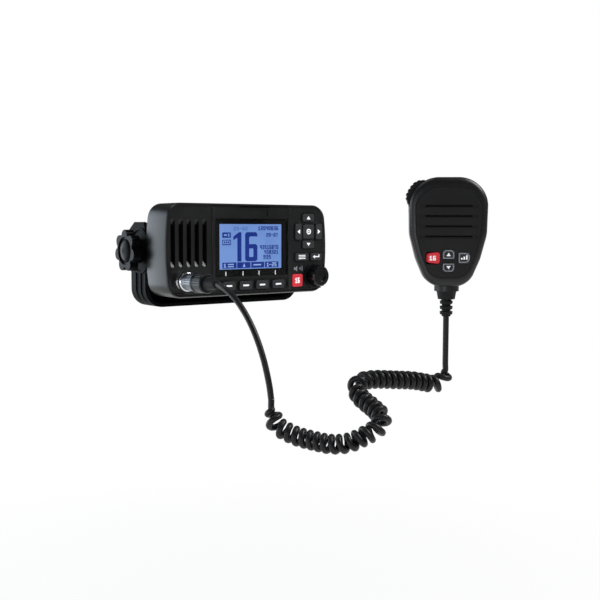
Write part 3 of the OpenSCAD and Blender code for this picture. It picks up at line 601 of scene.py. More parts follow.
def rounded_node(node, radius, material, segments=2, crease=CREASE, reshape=None):
    """A CAD node's own shape with its edges rounded as a mould rounds them."""
    work = merged_copy(node, reshape)
    piece = new_piece(node + "_finished", mesh_from(work, crease), material,
                      body_of_node(node), (node,))
    bevel = piece.modifiers.new("rounded edges", "BEVEL")
    bevel.width = radius
    bevel.segments = segments
    bevel.limit_method = "ANGLE"
    bevel.angle_limit = math.radians(crease)
    bevel.harden_normals = True
    bevel.miter_outer = "MITER_ARC"


def rectangle(x0, y0, x1, y1):
    """A rectangle between two corners."""
    return [(x0, y0), (x1, y0), (x1, y1), (x0, y1)]


def slab(x0, y0, x1, y1, radius):
    """A rectangle with round corners."""
    corners = [(x1 - radius, y0 + radius, -90), (x1 - radius, y1 - radius, 0),
               (x0 + radius, y1 - radius, 90), (x0 + radius, y0 + radius, 180)]
    return [(cx + radius * math.cos(math.radians(a + 90 * i / CORNER_STEPS)),
             cy + radius * math.sin(math.radians(a + 90 * i / CORNER_STEPS)))
            for cx, cy, a in corners for i in range(CORNER_STEPS + 1)]


def disc(cx, cy, radius):
    """A circle about a point."""
    return [(cx + radius * math.cos(2 * math.pi * i / DISC_STEPS),
             cy + radius * math.sin(2 * math.pi * i / DISC_STEPS)) for i in range(DISC_STEPS)]


def triangle(cx, cy, width, height, turn=0):
    """A triangle that points up, turned by some degrees."""
    c, s = math.cos(math.radians(turn)), math.sin(math.radians(turn))
    points = [(-width / 2, -height / 2), (width / 2, -height / 2), (0, height / 2)]
    return [(cx + c * x - s * y, cy + s * x + c * y) for x, y in points]


def flat_mark(name, outlines, height, place, material, body):
    """Printed marks: outlines in millimetres, filled, and as thick as the ink's height in
    metres. The drawing's x and y are its place's x and z, and it faces that place's -Y.
    Where outlines overlap, the inner one is a hole."""
    drawing = bpy.data.curves.new(name, "CURVE")
    drawing.dimensions = "2D"
    drawing.fill_mode = "BOTH"
    drawing.extrude = height / 2
    for outline in outlines:
        line = drawing.splines.new("POLY")
        line.points.add(len(outline) - 1)
        for point, (x, y) in zip(line.points, outline):
            point.co = (x * MM, y * MM, 0, 1)
        line.use_cyclic_u = True
    sketch = bpy.data.objects.new(name, drawing)
    mesh = bpy.data.meshes.new_from_object(sketch)
    bpy.data.objects.remove(sketch)
    bpy.data.curves.remove(drawing)
    mesh.transform(place @ Matrix.Rotation(math.radians(90), 4, "X"))
    new_piece(name, mesh, material, body)


def on_panel(y):
    """The place of a drawing on the radio's front at some Y, in panel millimetres."""
    return Matrix.Translation((PANEL_LEFT * MM, y * MM, PANEL_FOOT * MM))


def on_screen(y):
    """The place of what the screen shows at some Y, in its picture's millimetres."""
    screen = middle("lcd_panel")
    return Matrix.Translation(((screen[0] - SCREEN_IN_PICTURE[0]) * MM, y * MM,
                               (screen[2] - SCREEN_IN_PICTURE[1]) * MM))


def before_node(node):
    """The place of a sign on a key's front, about the middle of its box."""
    lo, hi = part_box(node)
    return Matrix.Translation(((lo[0] + hi[0]) / 2, lo[1] - PRINT_SINK * MM,
                               (lo[2] + hi[2]) / 2))


def on_mic_key(node):
    """The place of a sign on one of the microphone's keys, about the key's middle."""
    x, z = MIC_KEY_MIDDLES[node]
    return MIC_PLACE @ Matrix.Translation((x * MM, (MIC_KEY_FRONT - PRINT_SINK) * MM, z * MM))


def dot_number(text, right, top, dot_w, dot_h):
    """A number made of screen dots, with its upper right corner at a place."""
    dots = []
    width = 4 * len(text) * dot_w
    for i, sign in enumerate(text):
        for row, bits in enumerate(SMALL_DIGITS[sign]):
            x, run = 0, 0
            while x < 3:
                if bits[x] == "1":
                    run = x
                    while x < 3 and bits[x] == "1":
                        x += 1
                    x0 = right - width + (4 * i + run) * dot_w
                    dots.append(rectangle(
                        x0 - DOT_SPREAD * dot_w, top - (row + DOT_HIGH) * dot_h,
                        x0 + (x - run + DOT_SPREAD) * dot_w, top - row * dot_h))
                else:
                    x += 1
    return dots


def big_sixteen():
    """The channel number: a 1 with its flag, and a 6 with its hole."""
    one = [(75.6, 29.3), (75.6, 55.6), (72.9, 55.6), (67, 51.6), (67, 48.6), (71.2, 50.6),
           (71.2, 29.3)]
    six = [(81.2, 29.3), (91.4, 29.3), (93, 30.9), (93, 43.2), (91.4, 44.8), (84, 44.8),
           (84, 50.6), (85, 51.7), (93, 51.7), (93, 54), (91.4, 55.6), (81.2, 55.6),
           (79.6, 54), (79.6, 30.9)]
    hole = slab(84, 33.2, 88.6, 40.9, 0.7)
    return [one, six, hole]


# ---------------------------------------------------------------- cords and camera

def smooth_point(route, u):
    """A point of the smooth curve through a route, u points along it."""
    last = len(route) - 1
    i = min(int(u), last - 1)
    t = u - i
    p1, p2 = Vector(route[i]), Vector(route[i + 1])
    p0 = Vector(route[i - 1]) if i > 0 else 2 * p1 - p2
    p3 = Vector(route[i + 2]) if i < last - 1 else 2 * p2 - p1
    return 0.5 * (2 * p1 + (p2 - p0) * t + (2 * p0 - 5 * p1 + 4 * p2 - p3) * t * t
                  + (3 * p1 - p0 - 3 * p2 + p3) * t ** 3)


def heading(line, i):
    """The direction of a line at one of its points."""
    return (line[min(i + 1, len(line) - 1)] - line[max(i - 1, 0)]).normalized()


def curled_line():
    """The helix of the curly cord, by the same rule as its solid: the step opens at
    bends, and the curls grow out of a straight lead at both ends."""
    spans = len(CURL_ROUTE) - 1
    fine_n = FINE_STEPS * spans
    fine = [smooth_point(CURL_ROUTE, i * spans / fine_n) for i in range(fine_n + 1)]
    run = [0.0]
    for a, b in zip(fine, fine[1:]):
        run.append(run[-1] + (b - a).length)
    whole = run[-1]
    radius = (CURL_D - CORD_D) / 2

    def bend_at(i):
        """How much the route bends at a fine point: 1 over its radius."""
        a, b, c = fine[max(i - BEND_STEPS, 0)], fine[i], fine[min(i + BEND_STEPS, fine_n)]
        area = (b - a).cross(c - a).length
        # The least value keeps the route's end points from a division by nothing
        return 2 * area / max((b - a).length * (c - b).length * (c - a).length, 0.01)

    def grown(s):
        """The share of their full size that the curls have, some way along the route."""
        t = min(1.0, max(0.0, (min(s, whole - s) - CURL_START) / CURL_OPENS))
        return t * t * (3 - 2 * t)

    turns = [0.0]
    for i in range(1, fine_n + 1):
        growth = min(MOST_GROWTH, BEND_GROWS * radius * bend_at(i) * grown(run[i]))
        pitch = (CORD_D + CURL_GAP) / (1 - growth)
        turns.append(turns[-1] + 2 * math.pi * (run[i] - run[i - 1]) / pitch)
    up = heading(fine, 0).cross(Vector(CURL_UP)).cross(heading(fine, 0)).normalized()
    ups = [up]
    for i in range(1, fine_n + 1):
        up = (up - up.dot(heading(fine, i)) * heading(fine, i)).normalized()
        ups.append(up)
    rings = round(turns[-1] / (2 * math.pi) * CURL_STEPS)
    line, i = [], 0
    for j in range(rings + 1):
        angle = turns[-1] * j / rings
        while i < fine_n - 1 and turns[i + 1] < angle:
            i += 1
        share = (angle - turns[i]) / (turns[i + 1] - turns[i])
        s = run[i] + share * (run[i + 1] - run[i])
        side = heading(fine, i).cross(ups[i])
        centre = fine[i].lerp(fine[i + 1], share)
        line.append(centre + radius * grown(s)
                    * (math.cos(angle) * ups[i] + math.sin(angle) * side))
    return line


def cord_piece(name, line, node, body, **fittings):
    """A round cord through a line of points, as a tube mesh that stands for its solid."""
    shape = bpy.data.curves.new(name, "CURVE")
    shape.dimensions = "3D"
    shape.bevel_depth = CORD_D / 2 * MM
    shape.bevel_resolution = 4
    shape.use_fill_caps = True
    spline = shape.splines.new("POLY")
    spline.points.add(len(line) - 1)
    for point, place in zip(spline.points, line):
        point.co = (*(place * MM), 1)
    sketch = bpy.data.objects.new(name, shape)
    mesh = bpy.data.meshes.new_from_object(sketch)
    bpy.data.objects.remove(sketch)
    bpy.data.curves.remove(shape)
    work = bmesh.new()
    work.from_mesh(mesh)
    bmesh.ops.remove_doubles(work, verts=work.verts, dist=WELD)
    bmesh.ops.recalc_face_normals(work, faces=work.faces)
    bpy.data.meshes.remove(mesh)
    piece = new_piece(name, mesh_from(work, CORD_CREASE), cord_pvc(), body, (node,))
    return piece


class RADIO_OT_camera(bpy.types.Operator):
    """Sets the camera where the photograph was taken from"""

    bl_idname = "radio.camera"
    bl_label = "Camera"

    def execute(self, context):
        lens = bpy.data.cameras.new("camera")
        lens.lens = CAMERA_LENS
        lens.sensor_width = 36
        lens.clip_end = 20
        camera = bpy.data.objects.new("camera", lens)
        context.scene.collection.objects.link(camera)
        camera.matrix_world = (
            Matrix.Translation(Vector(CAMERA_PLACE) * MM)
            @ Matrix.Rotation(math.radians(-CAMERA_YAW), 4, "Z")
            @ Matrix.Rotation(math.radians(90 + CAMERA_PITCH), 4, "X")
            @ Matrix.Rotation(math.radians(CAMERA_ROLL), 4, "Z"))
        context.scene.camera = camera
        return {"FINISHED"}


class RADIO_OT_cords(bpy.types.Operator):
    """Makes the free lead, the curly cord and the microphone's lead"""

    bl_idname = "radio.cords"
    bl_label = "Cords"

    def execute(self, context):
        spans = len(PLUG_ROUTE) - 1
        plug_line = [Vector(BOOT_END)] + [smooth_point(PLUG_ROUTE, i * spans / LEAD_STEPS)
                                          for i in range(LEAD_STEPS + 1)]
        plug = [NODES[node] for node in ("plug_ring", "plug_barrel", "plug_sleeve", "plug_boot")]
        lead = cord_piece("cord_from_plug", plug_line, "plug_lead", None, with_pieces=plug)
        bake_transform(lead)
        cord_piece("cord_curls", curled_line(), "curly_cord", "root")
        foot, top = Vector(CURL_ROUTE[-1]), Vector(MIC_LEAD_TOP)
        mic_line = [foot.lerp(top, i / MIC_LEAD_STEPS) for i in range(MIC_LEAD_STEPS + 1)]
        mic_lead = cord_piece("cord_to_microphone", mic_line, "mic_lead", None,
                              with_pieces=[NODES["mic_strain_relief"]])
        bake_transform(mic_lead)
        return {"FINISHED"}


# ---------------------------------------------------------------- housing

def outline_way(x, z):
    """How far in from the bezel's outline a point about its middle is, and the way in."""
    meet = math.asin((BEZEL_HALF_H - CORNER_R) / (BOW_R - CORNER_R))
    corner = Vector((BEZEL_HALF_W - BOW_R + (BOW_R - CORNER_R) * math.cos(meet),
                     BEZEL_HALF_H - CORNER_R))
    point = Vector((abs(x), abs(z)))
    if point.x > corner.x and (point - corner).angle_signed(Vector((1, 0))) >= meet:
        inset, way = CORNER_R - (point - corner).length, (corner - point).normalized()
    elif point.x > corner.x:
        bow = Vector((BEZEL_HALF_W - BOW_R, 0))
        inset, way = BOW_R - (point - bow).length, (bow - point).normalized()
    else:
        inset, way = BEZEL_HALF_H - point.y, Vector((0, -1))
    return inset, Vector((math.copysign(way.x, -x), math.copysign(way.y, -z)))


def soften_rim(work):
    """Turns the rim's square section into the mould's: a wide outer bevel and a sloped
    inner side."""
    for vert in work.verts:
        x, depth, z = vert.co.x / MM, vert.co.y / MM - RIM_Y, vert.co.z / MM - BEZEL_Z
        inset, way = outline_way(x, z)
        for (old_inset, old_depth), (new_inset, new_depth) in RIM_RINGS:
            if (abs(inset - old_inset) < RING_NEAR_INSET
                    and abs(depth - old_depth) < RING_NEAR_DEPTH):
                move = way * (new_inset - old_inset) * MM
                vert.co += Vector((move.x, (new_depth - old_depth) * MM, move.y))
                break


def flute_ends(material):
    """The ramps at both ends of each sound slot, where the flute runs out."""
    work = bmesh.new()
    half, straight = SLOT_HALF_W, SLOT_HALF_H - SLOT_HALF_W
    arc = [(half * math.cos(math.pi * a / SLOT_ARC_STEPS),
            straight + half * math.sin(math.pi * a / SLOT_ARC_STEPS))
           for a in range(SLOT_ARC_STEPS + 1)]
    outline = arc + [(-half, SLOT_HALF_H - RAMP_LENGTH), (half, SLOT_HALF_H - RAMP_LENGTH)]
    for i in range(SLOTS):
        centre = Vector((PANEL_LEFT + SLOT_AT[0] + SLOT_STEP * i, PANEL_Y,
                         PANEL_FOOT + SLOT_AT[1]))
        for way in (-1, 1):
            foot = [work.verts.new((x, RAMP_FOOT, way * z)) for x, z in outline]
            made = bmesh.ops.extrude_face_region(work, geom=[work.faces.new(foot)])
            front = [part for part in made["geom"] if isinstance(part, bmesh.types.BMVert)]
            for vert in front:
                share = (SLOT_HALF_H - abs(vert.co.z)) / RAMP_LENGTH
                vert.co.y = RAMP_SHALLOW + (RAMP_DEEP - RAMP_SHALLOW) * share
            bmesh.ops.translate(work, verts=foot + front, vec=centre)
    bmesh.ops.recalc_face_normals(work, faces=work.faces)
    bmesh.ops.scale(work, verts=work.verts, vec=Vector((MM, MM, MM)))
    new_piece("speaker_flute_ends", mesh_from(work, BROAD_CREASE), material, "radio")


def panel_ridge(name, x, material):
    """One of the two upright ridges beside the screen, with a broad bevel."""
    work = bmesh.new()
    bmesh.ops.create_cube(work, size=1.0)
    bmesh.ops.scale(work, verts=work.verts, vec=Vector(RIDGE_SIZE))
    bmesh.ops.translate(work, verts=work.verts, vec=Vector((PANEL_LEFT + x, RIDGE_Y, RIDGE_Z)))
    front = [edge for edge in work.edges if all(vert.co.y < RIDGE_Y for vert in edge.verts)]
    bmesh.ops.bevel(work, geom=front, offset=RIDGE_BEVEL, segments=3, profile=0.5,
                    material=-1, affect="EDGES")
    bmesh.ops.scale(work, verts=work.verts, vec=Vector((MM, MM, MM)))
    new_piece(name, mesh_from(work, BROAD_CREASE), material, "radio")


class RADIO_OT_housing(bpy.types.Operator):
    """Finishes the bezel, the chassis with its screws and sockets, and the parts inside"""

    bl_idname = "radio.housing"
    bl_label = "Housing"

    def execute(self, context):
        finish = context.scene.radio_finish
        plastic = housing_abs(finish.housing_colour)
        rounded_node("front_bezel", finish.edge_round, plastic, reshape=soften_rim)
        flute_ends(plastic)
        for side, x in RIDGE_XS.items():
            panel_ridge("panel_ridge_" + side, x, plastic)
        rounded_node("chassis", finish.casting_round, coated_casting())
        for node, radius, material in (
                ("antenna_socket", 0.3, nickel_plate()), ("cable_glands", 0.3, soft_tpe()),
                ("case_screws", 0.2, stainless())):
            rounded_node(node, radius * MM, material)
        for node, material in (
                ("bezel_gasket", soft_tpe()), ("pivot_inserts", brass()),
                ("friction_washers", soft_tpe()), ("speaker_gasket", soft_tpe()),
                ("speaker_driver", speaker_paper()), ("keypad_mat", soft_tpe()),
                ("main_board", circuit_board()), ("encoder_body", nickel_plate()),
                ("encoder_shaft", stainless())):
            dress(node, material)
        return {"FINISHED"}


# ---------------------------------------------------------------- screen

def screen_marks(glow):
    """What the lit screen shows: each mark's name, outlines, Y and film."""
    lit = lit_film("blue_backlit_film", "#6f92d4", "#7fa2e2", glow)
    ink = lit_film("dark_lcd_segments", "#142a82", "#182f8a", glow)
    pale = lit_film("pale_lcd_segments", "#93b2ea", "#9dbaf0", glow)
    faint = lit_film("faint_lcd_segments", "#5577b8", "#5c80c2", glow)
    icons = [slab(55.3, 50.6, 64.3, 55.4, 0.3), rectangle(57, 52.2, 60.4, 53.9),
             rectangle(61.4, 51.6, 62.9, 54.4),
             slab(55.3, 44.1, 64.3, 48.9, 0.3), rectangle(56, 45, 63.6, 48.2)]
    icons += [rectangle(x, 45.8, x + 1.4, 47.4) for x in (57, 59.2, 61.4)]
    numbers = (dot_number("12040836", 117, 61, 0.72, 0.74)
               + dot_number("20-07", 116.6, 54.8, 0.68, 0.68)
               + dot_number("43516870", 117, 43.8, 0.66, 0.76)
               + dot_number("458321", 117, 39.2, 0.68, 0.72)
               + dot_number("935", 108.6, 34.8, 0.74, 0.74))
    labels = [rectangle(x0, 23.3, x1, 28.6)
              for x0, x1 in ((55.3, 70.2), (71, 85.3), (86.2, 100.5), (101.4, 116.6))]
    glyphs = (dot_number("1", 60, 27.8, 0.8, 0.74)
              + [rectangle(61, 24.4, 67.4, 25.4), rectangle(61, 26.4, 67.4, 27.4)]
              + [triangle(78.4, 26, 3, 3.4), rectangle(88.6, 25.4, 97, 26.6)]
              + dot_number("1-25", 115, 27.8, 0.72, 0.74))
    return (("lcd_picture", [rectangle(52.5, 22.5, 119.9, 62.8)], PICTURE_Y, lit),
            ("lcd_channel", big_sixteen(), SEGMENTS_Y, ink),
            ("lcd_icons", icons, SEGMENTS_Y, ink),
            ("lcd_numbers", numbers, SEGMENTS_Y, ink),
            ("lcd_soft_labels", labels, SEGMENTS_Y, ink),
            ("lcd_soft_glyphs", glyphs, GLYPHS_Y, pale),
            ("lcd_faint_number", dot_number("25-60", 83, 60.6, 0.78, 0.7), SEGMENTS_Y, faint))


class RADIO_OT_screen(bpy.types.Operator):
    """Finishes the window, and draws the lit screen and the marks round it"""

    bl_idname = "radio.screen"
    bl_label = "Screen"

    def execute(self, context):
        finish = context.scene.radio_finish
        dress("screen_window", window_acrylic())
        dress("lcd_panel", gloss_black())
        dress("lcd_frame", gloss_black())
        border = [slab(47.9, 16.4, 126.9, 67.4, 1.9), slab(51.9, 20.8, 122.9, 64.2, 1.2)]
        flat_mark("window_border", border, BORDER_INK * MM,
                  on_panel(WINDOW_BACK + BORDER_INK), gloss_black(), "radio")
        for name, outlines, y, film in screen_marks(finish.screen_glow):
            flat_mark(name, outlines, FILM_THICK * MM, on_screen(y), film, "radio")
        badge = [slab(74.2, 73.6, 106.6, 80.4, 0.8)]
        flat_mark("badge_plate", badge, finish.print_height, on_panel(PANEL_Y - PRINT_SINK),
                  gloss_black(), "radio")
        ticks = [rectangle(x - 0.35, 16.8, x + 0.35, 20.6) for x in (59, 77.2, 94.7, 112.9)]
        flat_mark("soft_key_ticks", ticks, finish.print_height,
                  on_panel(WINDOW_FRONT - TICK_SINK), printed_white(), "radio")
        return {"FINISHED"}


# ---------------------------------------------------------------- keys

def key_signs():
    """The signs on the radio's keys: each key's node and the outlines about its middle."""
    signs = {
        "key_up": [triangle(0, 0, 4.4, 3)],
        "key_down": [triangle(0, 0, 4.4, 3, 180)],
        "key_left": [triangle(0, 0, 4.4, 3, 90)],
        "key_right": [triangle(0, 0, 4.4, 3, -90)],
        "key_ok": [disc(0, 0, 2.6), disc(0, 0, 1.6), disc(0, 0, 0.8)],
        "key_menu": [rectangle(-4, y - 0.36, 4, y + 0.36) for y in (-1.5, 0, 1.5)],
        "key_back": [[(-4.2, 0), (-1.6, 1.7), (-1.6, 0.5), (2.6, 0.5), (2.6, 1.9),
                      (3.7, 1.9), (3.7, -0.5), (-1.6, -0.5), (-1.6, -1.7)]],
        "key_red": dot_number("16", 2.9, 2.6, 0.72, 1.0),
    }
    for number in range(1, 5):
        signs[f"soft_key_{number}"] = [slab(-3.1, -0.7, 3.1, 0.7, 0.3)]
    return signs


def print_sign(node, kind, outlines, place, material):
    """Prints a mark on a key, which rides on the key's body."""
    height = bpy.context.scene.radio_finish.print_height
    flat_mark(node + kind, outlines, height, place, material, body_of_node(node))


class RADIO_OT_keys(bpy.types.Operator):
    """Finishes the radio's keys and prints their signs"""

    bl_idname = "radio.keys"
    bl_label = "Keys"

    def execute(self, context):
        finish = context.scene.radio_finish
        for node in PANEL_KEYS:
            rounded_node(node, finish.key_round, keycap_silicone(finish.key_colour),
                         segments=3)
        rounded_node("key_red", finish.key_round, red_silicone(finish.red_colour),
                     segments=3)
        for node, outlines in key_signs().items():
            print_sign(node, "_sign", outlines, before_node(node), printed_white())
        speaker_sign = ([rectangle(134.4, 20.2, 136, 22.6),
                         [(136.3, 20.2), (138, 18.8), (138, 24), (136.3, 22.6)]]
                        + [rectangle(139.2 + 1.5 * i, 21.4 - 0.8 * i, 139.8 + 1.5 * i,
                                     21.4 + 0.8 * i + 0.1) for i in (1, 2, 3)])
        flat_mark("volume_sign", speaker_sign, finish.print_height,
                  on_panel(PANEL_Y - PRINT_SINK), printed_grey(), "radio")
        return {"FINISHED"}


class RADIO_OT_volume_knob(bpy.types.Operator):
    """Finishes the volume knob"""

    bl_idname = "radio.volume_knob"
    bl_label = "Volume knob"

    def execute(self, context):
        rounded_node("volume_knob", 0.45 * MM, volume_rubber(), segments=3)
        return {"FINISHED"}


# ---------------------------------------------------------------- bracket

def rear_lip(material):
    """The upturned back edge of the bracket's base, which runs into both bends."""
    end = math.acos((BEND_AT[1] - LIP_TOP) / BEND_INNER_R)
    arc = [(BEND_AT[0] + BEND_INNER_R * math.sin(end * i / LIP_ARC_STEPS),
            BEND_AT[1] - BEND_INNER_R * math.cos(end * i / LIP_ARC_STEPS))
           for i in range(LIP_ARC_STEPS + 1)]
    outline = arc + [(-x, z) for x, z in reversed(arc)]
    work = bmesh.new()
    face = work.faces.new([work.verts.new((x * MM, LIP_FRONT * MM, max(z, LIP_FOOT) * MM))
                           for x, z in outline])
    made = bmesh.ops.extrude_face_region(work, geom=[face])
    back = [part for part in made["geom"] if isinstance(part, bmesh.types.BMVert)]
    bmesh.ops.translate(work, verts=back, vec=Vector((0, LIP_THICK * MM, 0)))
    bmesh.ops.recalc_face_normals(work, faces=work.faces)
    new_piece("bracket_rear_lip", mesh_from(work, BROAD_CREASE), material, "root")


class RADIO_OT_bracket(bpy.types.Operator):
    """Finishes the gimbal bracket, its clamp knobs and their studs"""

    bl_idname = "radio.bracket"
    bl_label = "Gimbal bracket"

    def execute(self, context):
        finish = context.scene.radio_finish
        rounded_node("gimbal_bracket", finish.casting_round, bracket_nylon())
        rear_lip(bracket_nylon())
        for side in ("left", "right"):
            rounded_node(f"gimbal_knob_{side}", 0.9 * MM, knob_nylon(), segments=3)
            dress(f"knob_stud_{side}", stainless())
        return {"FINISHED"}


class RADIO_OT_plug(bpy.types.Operator):
    """Finishes the microphone socket and its plug"""

    bl_idname = "radio.plug"
    bl_label = "Microphone plug"

    def execute(self, context):
        for node, radius, material in (
                ("mic_socket", 0.3, chrome_plate()), ("plug_ring", 0.3, chrome_plate()),
                ("plug_barrel", 0.12, nickel_plate()), ("plug_sleeve", 0.2, black_anodised()),
                ("plug_boot", 0.3, soft_tpe())):
            rounded_node(node, radius * MM, material)
        return {"FINISHED"}


# ---------------------------------------------------------------- microphone

def round_talk_switch(work):
    """Lets the talk switch's outside run down to the shell at both its ends."""
    back = MIC_PLACE.inverted()
    for vert in work.verts:
        place = back @ vert.co / MM
        x, z = place.x - TALK_CORNER[0], place.z - TALK_CORNER[1]
        radius, angle = math.hypot(x, z), math.degrees(math.atan2(z, x))
        if radius <= SHELL_R:
            continue
        near = min(angle - TALK_FROM, TALK_TO - angle) / TALK_RUN_OUT
        rise = math.sin(math.pi / 2 * min(1.0, max(0.0, near)))
        share = (SHELL_R + (radius - SHELL_R) * rise) / radius
        place.x, place.z = TALK_CORNER[0] + x * share, TALK_CORNER[1] + z * share
        vert.co = MIC_PLACE @ (place * MM)


def round_red_key(work):
    """Leaves a gap round the microphone's red key and narrows its left end."""
    back = MIC_PLACE.inverted()
    for vert in work.verts:
        place = back @ vert.co / MM
        x, z = place.x - RED_KEY[0], place.z - RED_KEY[1]
        left = max(0.0, min(1.0, -x / RED_KEY_HALF))
        place.x = RED_KEY[0] + RED_KEY_SHIFT + x * RED_KEY_SHARE
        place.z = RED_KEY[1] + z * (RED_KEY_SHARE - RED_KEY_TAPER * left ** 2)
        vert.co = MIC_PLACE @ (place * MM)


def mic_key_signs():
    """The signs on the microphone's keys: each key's node and outlines about its middle."""
    bars = [rectangle(x, -1.3, x + 1.2, z) for x, z in ((-2.6, 0.1), (-0.6, 1.1), (1.4, 2.1))]
    return {"mic_key_up": [triangle(0, 0, 3.4, 2.6)],
            "mic_key_down": [triangle(0, 0, 3.4, 2.6, 180)],
            "mic_key_side": bars,
            "mic_key_red": dot_number("16", 2.9, 1.9, 0.72, 0.76)}


def mic_key_frames():
    """The frames round the microphone's dark keys: each key's node and its outline."""
    return {"mic_key_up": [(-4.5, -3.4), (4.5, -3.4), (4.5, 1.6), (2.6, 3.5), (-2.6, 3.5),
                           (-4.5, 1.6)],
            "mic_key_down": [(-4.5, 3.2), (4.5, 3.2), (4.5, -1.5), (2.8, -3.2), (-2.8, -3.2),
                             (-4.5, -1.5)],
            "mic_key_side": [(-4.4, -4), (1.2, -4), (3.2, -3.2), (4.4, -1.4), (4.4, 1.6),
                             (3.2, 3.4), (1.2, 4.1), (-4.4, 4.1)]}


class RADIO_OT_microphone(bpy.types.Operator):
    """Finishes the microphone's shells, plate, keys, talk switch and inner parts"""

    bl_idname = "radio.microphone"
    bl_label = "Hand microphone"

    def execute(self, context):
        finish = context.scene.radio_finish
        for node, radius in (("mic_front_shell", 0.3), ("mic_back_shell", 0.3),
                             ("mic_face_plate", 0.4)):
            rounded_node(node, radius * MM, mic_housing(), crease=BROAD_CREASE)
        rounded_node("talk_switch", 0.4 * MM, soft_tpe(), reshape=round_talk_switch)
        rounded_node("mic_strain_relief", 0.25 * MM, soft_tpe())
        for node in MIC_KEYS:
            rounded_node(node, finish.key_round, keycap_silicone(finish.key_colour),
                         segments=3)
        rounded_node("mic_key_red", 0.5 * MM, red_silicone(finish.red_colour), segments=3,
                     reshape=round_red_key)
        for node, outlines in mic_key_signs().items():
            print_sign(node, "_sign", outlines, on_mic_key(node), printed_white())
        for node, outline in mic_key_frames().items():
            inner = [(FRAME_OPEN[0] * x, FRAME_OPEN[1] * z) for x, z in outline]
            print_sign(node, "_frame", [outline, inner], on_mic_key(node), printed_grey())
        for node, material in (("mic_key_mat", soft_tpe()), ("mic_board", circuit_board()),
                               ("mic_grille_cloth", grille_cloth()),
                               ("mic_capsule", nickel_plate()), ("mic_screws", stainless()),
                               ("mic_hang_stud", stainless())):
            dress(node, material)
        return {"FINISHED"}


class RADIO_OT_hanger(bpy.types.Operator):
    """Finishes the microphone's hanger"""

    bl_idname = "radio.hanger"
    bl_label = "Microphone hanger"

    def execute(self, context):
        rounded_node("mic_hanger", 0.4 * MM, coated_casting())
        return {"FINISHED"}


# ---------------------------------------------------------------- stage

def seen_directly(tree):
    """1 where the camera, a mirror or glass looks straight at this surface, and the node
    that tells of each ray."""
    path = add_node(tree, "ShaderNodeLightPath")
    seen = path.outputs["Is Camera Ray"]
    for kind in ("Is Glossy Ray", "Is Transmission Ray"):
        either = add_node(tree, "ShaderNodeMath", operation="MAXIMUM")
        tree.links.new(seen, either.inputs[0])
        tree.links.new(path.outputs[kind], either.inputs[1])
        seen = either.outputs[0]
    return seen, path


def white_room():
    """A world that is white to the camera and gives an even, modest light. Mirrors see a
    dark wall in front of the object, and behind it white up to a dark ceiling."""
    world = bpy.data.worlds.new("white_room")
    world.use_nodes = True
    tree = world.node_tree
    tree.nodes.clear()
    seen, path = seen_directly(tree)
    toward = add_node(tree, "ShaderNodeTexCoord").outputs["Generated"]
    axes = add_node(tree, "ShaderNodeSeparateXYZ", {"Vector": toward})
    ceiling = add_node(tree, "ShaderNodeMapRange", {
        "Value": axes.outputs["Z"], "From Min": 0.05, "From Max": 0.35,
        "To Min": 1.0, "To Max": DARK_CEILING})
    wall = add_node(tree, "ShaderNodeMapRange", {
        "Value": axes.outputs["Y"], "From Min": -0.35, "From Max": 0.25,
        "To Min": DARK_WALL, "To Max": ceiling.outputs["Result"]})
    mirrored = add_node(tree, "ShaderNodeMix", {"Factor": path.outputs["Is Camera Ray"],
                                                "A": wall.outputs["Result"], "B": 1.0})
    level = add_node(tree, "ShaderNodeMix", {"Factor": seen, "A": ROOM_LIGHT,
                                             "B": mirrored.outputs["Result"]})
    air = add_node(tree, "ShaderNodeBackground", {
        "Color": WHITE, "Strength": level.outputs["Result"]})
    add_node(tree, "ShaderNodeOutputWorld", {"Surface": air.outputs["Background"]})
    return world


def backdrop_paper():
    """White studio paper: it takes the shadow, and turns to plain white further off."""
    made = start_material("white_backdrop_paper")
    if made is None:
        return bpy.data.materials["white_backdrop_paper"]
    tree = made.node_tree
    paper = add_node(tree, "ShaderNodeBsdfDiffuse", {"Color": linear("#f4f4f4")})
    glow = add_node(tree, "ShaderNodeEmission", {"Color": WHITE, "Strength": 1.0})
    where = add_node(tree, "ShaderNodeTexCoord").outputs["Object"]
    away = add_node(tree, "ShaderNodeVectorMath", {"Vector": where}, operation="LENGTH")
    fade = add_node(tree, "ShaderNodeMapRange", {
        "Value": away.outputs["Value"], "From Min": 0.3, "From Max": 0.8,
        "To Min": 0.8, "To Max": 1.0})
    seen, _ = seen_directly(tree)
    share = add_node(tree, "ShaderNodeMath", operation="MULTIPLY")
    tree.links.new(fade.outputs["Result"], share.inputs[0])
    tree.links.new(seen, share.inputs[1])
    both = add_node(tree, "ShaderNodeMixShader", {"Fac": share.outputs[0]})
    tree.links.new(paper.outputs[0], both.inputs[1])
    tree.links.new(glow.outputs[0], both.inputs[2])
    add_node(tree, "ShaderNodeOutputMaterial", {"Surface": both.outputs[0]})
    return made


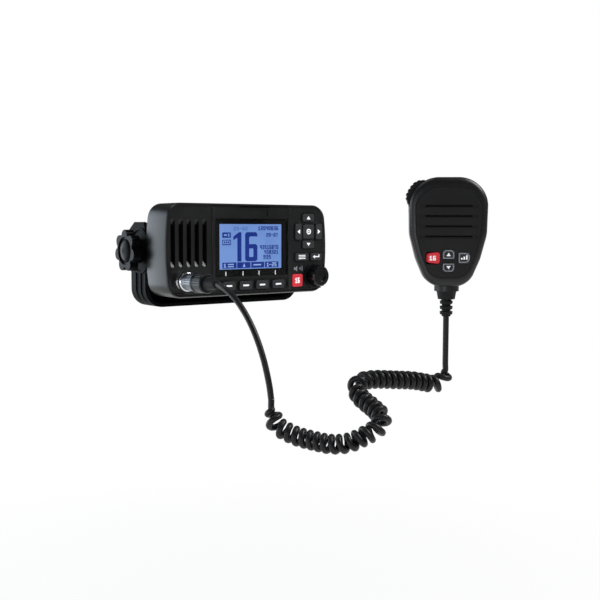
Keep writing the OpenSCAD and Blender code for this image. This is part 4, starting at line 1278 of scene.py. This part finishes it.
class RADIO_OT_stage(bpy.types.Operator):
    """Makes the pale floor, the world and the lamps"""

    bl_idname = "radio.stage"
    bl_label = "Stage"

    def execute(self, context):
        settings = context.scene.radio_stage
        floor_z = CAD_BOX[0][2] - settings.floor_drop
        bpy.ops.mesh.primitive_plane_add(size=FLOOR_SIDE, location=(0, 0, floor_z))
        floor = context.object
        floor.name = "floor"
        floor.data.materials.append(backdrop_paper())
        context.scene.world = white_room()
        context.scene.view_settings.view_transform = "Standard"
        aim = Vector(LAMP_AIM) * MM
        for name, place, size, radiance, colour in LAMPS:
            light = bpy.data.lights.new(name, "AREA")
            light.shape = "SQUARE"
            light.size = size
            light.color = linear(colour)[:3]
            light.energy = math.pi * size ** 2 * radiance * settings.lamp_level
            lamp = bpy.data.objects.new(name, light)
            context.scene.collection.objects.link(lamp)
            lamp.location = place
            lamp.rotation_euler = (aim - Vector(place)).to_track_quat("-Z", "Y").to_euler()
        return {"FINISHED"}


class RADIO_PT_panel(bpy.types.Panel):
    """Lists the steps and their settings"""

    bl_label = "Marine Radio"
    bl_space_type = "VIEW_3D"
    bl_region_type = "UI"
    bl_category = "Marine Radio"

    def draw(self, context):
        for group in (context.scene.radio_finish, context.scene.radio_stage):
            for name in group.__annotations__:
                self.layout.prop(group, name)
        for operator in OPERATORS:
            self.layout.operator(operator.bl_idname)


OPERATORS = (RADIO_OT_camera, RADIO_OT_cords, RADIO_OT_housing, RADIO_OT_screen,
             RADIO_OT_keys, RADIO_OT_volume_knob, RADIO_OT_bracket, RADIO_OT_plug,
             RADIO_OT_microphone, RADIO_OT_hanger, RADIO_OT_stage)
CLASSES = (RadioFinish, StageFinish) + OPERATORS + (RADIO_PT_panel,)


def register():
    """Adds the classes, and the settings to the scene."""
    for cls in CLASSES:
        bpy.utils.register_class(cls)
    bpy.types.Scene.radio_finish = bpy.props.PointerProperty(type=RadioFinish)
    bpy.types.Scene.radio_stage = bpy.props.PointerProperty(type=StageFinish)


def unregister():
    """Takes the settings and the classes away."""
    del bpy.types.Scene.radio_stage
    del bpy.types.Scene.radio_finish
    for cls in reversed(CLASSES):
        bpy.utils.unregister_class(cls)


def main():
    """Makes the whole scene."""
    register()
    for step in ("camera", "cords", "housing", "screen", "keys", "volume_knob", "bracket",
                 "plug", "microphone", "hanger", "stage"):
        getattr(bpy.ops.radio, step)()


if __name__ == "__main__":
    main()
